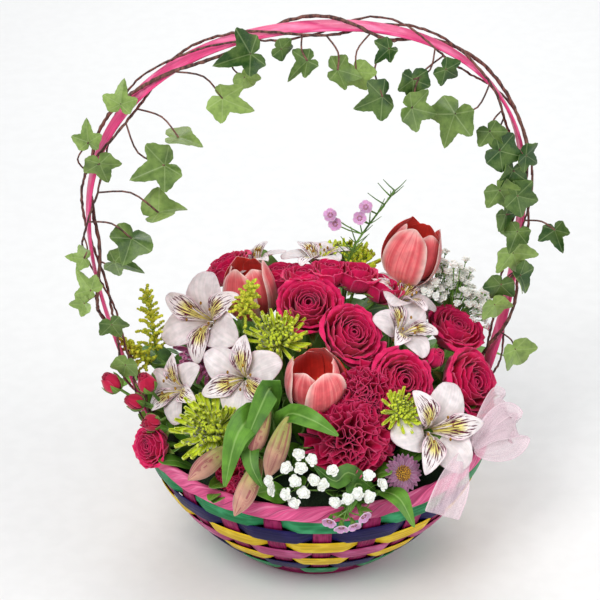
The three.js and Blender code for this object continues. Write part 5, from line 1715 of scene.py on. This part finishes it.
LEAVES = (
    LeafBunch(
        "lily_leaves", (-58, -80, 150),
        [
            ([(-54, -92, 206), (-66, -106, 196), (-82, -120, 168)], 20, (0.1, -0.9, 0.3)),
            ([(-66, -96, 184), (-86, -118, 182), (-99, -136, 146)], 25, (-0.1, -0.9, 0.45)),
            ([(-72, -108, 166), (-76, -126, 158), (-69, -138, 143)], 15, (-0.2, -0.8, 0.6)),
            ([(-44, -108, 190), (-28, -134, 200), (-8, -142, 188)], 18, (0.1, -0.7, 0.7)),
        ],
        (196, 262), 44,
    ),
    LeafBunch("leaf_front", (28, -134, 123),
        [
            ([(35, -146, 130), (42, -158, 128), (50, -168, 110)], 17, (0.1, -0.4, 0.9)),
            ([(2, -140, 150), (-12, -150, 150), (-28, -142, 162)], 15, (0.1, -0.7, 0.7)),
            ([(8, -142, 140), (2, -156, 140), (-2, -163, 128)], 15, (0.1, -0.7, 0.7)),
        ], (262, 324), 44),
    LeafBunch(
        "leaves_left", (-108, 36, 126),
        [
            ([(-130, 36, 142), (-150, 30, 152), (-172, 28, 142)], 20, (-0.2, 0.1, 1)),
            ([(-120, 54, 144), (-136, 70, 154), (-150, 84, 142)], 24, (-0.2, 0.2, 1)),
        ],
        (130, 200), 34,
    ),
    LeafBunch(
        "leaves_right", (112, 20, 128),
        [
            ([(134, 26, 140), (154, 28, 146), (176, 32, 136)], 22, (0.2, 0.1, 1)),
            ([(124, 44, 142), (142, 60, 150), (156, 74, 138)], 24, (0.2, 0.3, 1)),
        ],
        (-38, 50), 38,
    ),
    LeafBunch(
        "leaves_back", (0, 104, 134),
        [
            ([(-44, 118, 164), (-72, 128, 166), (-98, 134, 148)], 24, (0, 0.5, 0.9)),
            ([(44, 118, 164), (74, 128, 168), (100, 130, 150)], 24, (0, 0.5, 0.9)),
            ([(6, 132, 168), (4, 148, 170), (-2, 166, 154)], 26, (0, 0.4, 0.9)),
            ([(-12, 116, 176), (-20, 116, 198), (-24, 124, 212)], 22, (0, 0.8, 0.5)),
            ([(16, 72, 178), (22, 44, 200), (24, 26, 214)], 24, (0, -0.6, 0.8)),
            ([(34, 72, 170), (46, 44, 192), (54, 24, 210)], 24, (0, -0.6, 0.8)),
            ([(50, 76, 164), (72, 50, 188), (84, 30, 202)], 24, (0, -0.6, 0.8)),
            ([(60, 84, 160), (92, 60, 184), (112, 40, 198)], 24, (0, -0.6, 0.8)),
            ([(66, 84, 156), (112, 62, 174), (138, 44, 186)], 24, (0, -0.6, 0.8)),
        ],
        (50, 130), 44,
    ),
)  # fmt: skip


# ---- Fine sprays ----


@dataclass
class BabysBreath(Plant):
    """Baby's breath: small double florets on thin forking stalks."""

    name: str
    size: float
    clusters: Sequence[tuple[Point, Sequence[Point]]]  # fork, florets
    extra: int  # florets beside each
    spread: float
    petals: int = 18
    rounds: int = 1
    petal: Petal = Petal(((0.05, -0.2), (0.5, 0.06), (1.0, 0.12)), (0.14, 0.42, 0.38), 0.5, 0.2, 0.15, 0.08)
    finishes = (BREATH, STEM)

    def grow(self, growth: Growth, chance: random.Random) -> None:
        """Grows the florets and stalks.

        Args:
            growth: The mesh.
            chance: The random numbers.
        """
        knots = [Vector(fork) for fork, _ in self.clusters]
        for i, knot in enumerate(knots):
            below = knots[i - 1] if i else root_below(knot)
            growth.tube([knot, knot.lerp(below, 0.5), below], 1.0, 5)
        for knot, (_, places) in zip(knots, self.clusters):
            for place in places:
                for i in range(self.extra + 1):
                    shift = scatter(chance, 1) * self.spread * (i > 0)
                    self.floret(growth, Vector(place) + shift, knot, self.size * (1 if i == 0 else 0.72), chance)

    def floret(self, growth: Growth, at: Vector, knot: Vector, size: float, chance: random.Random) -> None:
        """Adds one floret on its stalk.

        Args:
            growth: The mesh.
            at: Its middle, in millimetres.
            knot: Where its stalk forks off.
            size: Its radius.
            chance: The random numbers.
        """
        look = (at - knot).normalized()
        growth.tube(bent((knot, knot.lerp(at, 0.5) + Vector((0, 0, 3)), at - look * 2), 4), 0.45, 4)
        growth.bead(at - look * 0.3 * size, size * 0.3, material=1)
        growth.bead(at + look * 0.1 * size, size * 0.5)
        seat = Seat(growth, at, size, look, chance.randrange(1000))
        for i in range(self.petals):
            share = 1 - 0.6 * i / self.petals
            petal = replace(self.petal, path=[(r * share, z + 0.8 * (1 - share)) for r, z in self.petal.path])
            seat.petal(petal, i * GOLDEN_ANGLE, (2, 2), chance.uniform(0.5, 0.95), thickness=0.35, wild=0.1)


@dataclass
class Waxflower(Plant):
    """Waxflower: five-petalled flowers and needle leaves on a twig."""

    name: str
    twig: Sequence[Point]
    flowers: Sequence[Point]
    size: float
    needles: int
    needle: float
    look: Point = (0, -1, 0.5)
    petal: Petal = Petal(((0.1, -0.06), (0.55, 0.1), (0.92, 0.36)), (0.16, 0.5, 0.42), 0.4, 0.12, 0.3, 0.05)
    finishes = (WAX, STEM, ANTHER)

    def grow(self, growth: Growth, chance: random.Random) -> None:
        """Grows the twig, flowers and needles.

        Args:
            growth: The mesh.
            chance: The random numbers.
        """
        line = bent(self.twig, 20)
        growth.tube(line, lambda v, angle: between(1.4, 0.8, v))
        for at in self.flowers:
            middle = Vector(at)
            start = min(line[14:], key=lambda point: (point - middle).length)
            growth.tube([start, start.lerp(middle, 0.5) + Vector((0, 0, -1)), middle], 0.6, 5)
            self.flower(growth, middle, (middle - start).normalized(), chance)
        for i in range(self.needles):
            start = line[20 - i % 14]
            angle = i * GOLDEN_ANGLE
            side = Vector((cos(angle), 0.6 * sin(angle), chance.uniform(0.5, 1.0))).normalized()
            tip = start + side * self.needle * chance.uniform(0.7, 1.1)
            needle = [start, start.lerp(tip, 0.5) + Vector((0, 0, -0.5)), tip]
            growth.tube(needle, lambda v, angle: between(0.7, 0.3, v), 4)

    def flower(self, growth: Growth, middle: Vector, look: Vector, chance: random.Random) -> None:
        """Adds one flower: five petals round a waxy cup with a ring of anthers.

        Args:
            growth: The mesh.
            middle: Its middle, in millimetres.
            look: Which way its stalk points.
            chance: The random numbers.
        """
        seat = Seat(growth, middle, self.size, look * 0.5 + Vector(self.look), chance.randrange(1000))
        cone = [seat.spot(0, 0, z) for z in (-0.95, -0.5, 0.0)]
        growth.tube(cone, lambda v, angle: self.size * between(0.14, 0.42, v), 8)
        for i in range(5):
            seat.petal(self.petal, i * 1.2566, (7, 7), thickness=0.5)
        growth.bead(seat.spot(0, 0, -0.05), 0.26 * self.size, 0.1)
        for i in range(8):
            anther = seat.spot(0.3 * cos(i * 0.785), 0.3 * sin(i * 0.785), 0.14)
            growth.bead(anther, 0.07 * self.size, material=2)


BREATHS = (
    BabysBreath(
        "babys_breath_front", 6.6,
        [
            (
                (-42, -128, 146),
                [(-40, -142, 173), (-31, -146, 170), (-50, -144, 163), (-40, -150, 166), (-45, -152, 156),
                 (-64, -146, 154)],
            ),
            ((-34, -138, 136), [(-62, -148, 146), (-52, -154, 145), (-38, -154, 145), (-46, -156, 138),
                                (-30, -152, 154)]),
            ((-6, -138, 132), [(-14, -150, 160), (-22, -154, 150), (-13, -158, 136), (-4, -161, 140)]),
            ((16, -140, 130), [(5, -160, 143), (15, -152, 153), (14, -160, 139), (26, -150, 142)]),
        ],
        0, 9.0,
    ),
    BabysBreath(
        "babys_breath_back", 6.7,
        [
            ((108, 42, 184), [(87, 30, 204), (97, 40, 222), (116, 44, 225), (101, 28, 206), (86, 24, 192),
                              (106, 34, 214)]),
            ((124, 28, 174), [(133, 40, 213), (149, 30, 196), (119, 34, 212), (146, 18, 190), (124, 38, 222),
                              (138, 30, 206)]),
        ],
        14, 13.0, 7, 0,
    ),
)
WAXFLOWERS = (
    Waxflower(
        "waxflower_top", [(12, 18, 90), (34, 44, 214), (40, 46, 250), (76, 50, 300)],
        [(20, 46, 284), (44, 40, 282), (50, 44, 290), (24, 44, 276)], 6.5, 42, 17,
    ),
    Waxflower(
        "waxflower_front", [(2, -52, 90), (4, -112, 130), (0, -148, 138), (-4, -158, 126)],
        [(-18, -160, 119), (-9, -163, 114), (1, -163, 115), (9, -162, 122)], 6.8, 8, 12, (0, -0.9, -0.15),
    ),
)  # fmt: skip


# ---- Ribbon ----


@dataclass
class Bow:
    """A bow of sheer ribbon: gathered loops and tails from one knot."""

    name: str = "ribbon_bow"
    finish: Finish = OrganzaFinish("ribbon_organza", "#FBE2EA")
    width: float = 36.0
    thickness: float = 0.3
    bands: Sequence[tuple[Sequence[Point], Point, float]] = (
        (
            [(114, -97, 133), (132, -84, 141), (150, -68, 136), (160, -58, 122), (152, -66, 115), (134, -85, 121),
             (115, -98, 130)],
            (0.4, -0.6, 0.6), 1.0,
        ),
        (
            [(112, -96, 134), (130, -78, 147), (146, -58, 148), (154, -46, 138), (146, -54, 131), (130, -76, 134),
             (113, -97, 132)],
            (0.5, -0.4, 0.7), 0.85,
        ),
        ([(111, -100, 131), (99, -121, 131), (88, -135, 121), (78, -144, 101)], (0.3, -0.9, 0.3), 1.0),
    )  # fmt: skip

    def build(self) -> None:
        """Makes the ribbon, dresses it and logs its flat size."""
        growth = Growth()
        length = 0.0
        for points, facing, share in self.bands:
            line = [Vector(point) for point in points]
            self.band(growth, line, Vector(facing).normalized(), share)
            length += sum((b - a).length for a, b in zip(line, line[1:]))
        ribbon = growth.dress(self.name, [self.finish])
        area = sum(face.area for face in ribbon.data.polygons) / 2
        flat = (area / (length * MM), length * MM)
        LOG.info("ribbon: %.0f by %.0f mm flat", flat[0] / MM, flat[1] / MM)

    def band(self, growth: Growth, line: Sequence[Vector], up: Vector, share: float) -> None:
        """Adds one loop or tail, gathered where it meets the knot.

        Args:
            growth: The mesh.
            line: Its middle, in millimetres.
            up: Which way its face looks.
            share: Its width, as a share of the ribbon's.
        """
        closed = (line[0] - line[-1]).length < 12

        def place(u: float, v: float) -> Vector:
            """Gives a corner of the ribbon."""
            spot, ahead, side = strip(line, up, v)
            if ahead.dot(line[len(line) // 2] - line[0]) < 0 and closed:
                side = -side
            open_share = sin(pi * v) if closed else sin(pi * 0.55 * v)
            half = self.width / 2 * share * (0.16 + 0.84 * open_share**0.8)
            pleat = (1.6 * open_share + 0.4) * sin(1.9 * pi * u + 3 * v)
            return spot + side * u * half + up * pleat

        growth.skin(16, 28 if closed else 16, place, share / 2, 0, self.thickness)


# ---- Setting ----


@dataclass
class Studio:
    """The floor, the lights and the camera."""

    target: Point = (-5, 51, 201)
    distance: float = 2200.0
    azimuth: float = -10.0
    elevation: float = 30.5
    lens: float = 154.1
    sky: tuple[float, ...] = (0.93, 0.95, 1.0, 1)
    sky_strength: float = 0.55
    lamps: tuple[tuple[str, Point, float, float], ...] = (  # name, place, size, power
        ("key", (-900, -1100, 1700), 900, 26),
        ("fill", (1300, -700, 900), 1200, 10),
        ("back", (300, 1400, 1300), 1000, 12),
    )
    floor: Finish = GrainFinish("floor_pale", "#F0F0EE", "#EEEEEC", 60.0, 0.01, 0.7)
    floor_half: float = 4000.0

    def build(self) -> None:
        """Sets the floor, the lights, the sky and the camera."""
        growth = Growth()
        growth.skin(2, 2, lambda u, v: Vector((u, 2 * v - 1, 0)) * self.floor_half, thickness=4)
        growth.finish("floor", [self.floor], 0)
        for name, at, size, power in self.lamps:
            lamp = bpy.data.lights.new(name, "AREA")
            lamp.size = size * MM
            lamp.energy = power
            self.aim(bpy.data.objects.new(name, lamp), Vector(at) * MM)
        scene = bpy.context.scene
        scene.world = bpy.data.worlds.new("studio")
        scene.world.use_nodes = True
        sky = scene.world.node_tree.nodes["Background"].inputs
        sky["Color"].default_value = self.sky
        sky["Strength"].default_value = self.sky_strength
        scene.view_settings.view_transform = "Standard"
        lens = bpy.data.cameras.new("camera")
        lens.lens = self.lens
        lens.clip_end = 20
        scene.camera = bpy.data.objects.new("camera", lens)
        bearing, height = radians(self.azimuth), radians(self.elevation)
        back = Vector((sin(bearing) * cos(height), -cos(bearing) * cos(height), sin(height)))
        self.aim(scene.camera, (Vector(self.target) + back * self.distance) * MM)

    def aim(self, item: bpy.types.Object, at: Vector) -> None:
        """Puts a light or the camera in its place, turned to the flowers.

        Args:
            item: The light or the camera.
            at: Its place, in metres.
        """
        item.location = at
        item.rotation_euler = (Vector(self.target) * MM - at).to_track_quat("-Z", "Y").to_euler()
        bpy.context.scene.collection.objects.link(item)


def main() -> None:
    """Builds the arrangement and its setting."""
    logging.basicConfig(level=logging.INFO, format="%(message)s")
    Studio().build()
    Basket().build()
    for part in (*BLOOMS, *LEAVES, *BREATHS, *WAXFLOWERS, Bow(), *IVY):
        part.build()


if __name__ == "__main__":
    main()
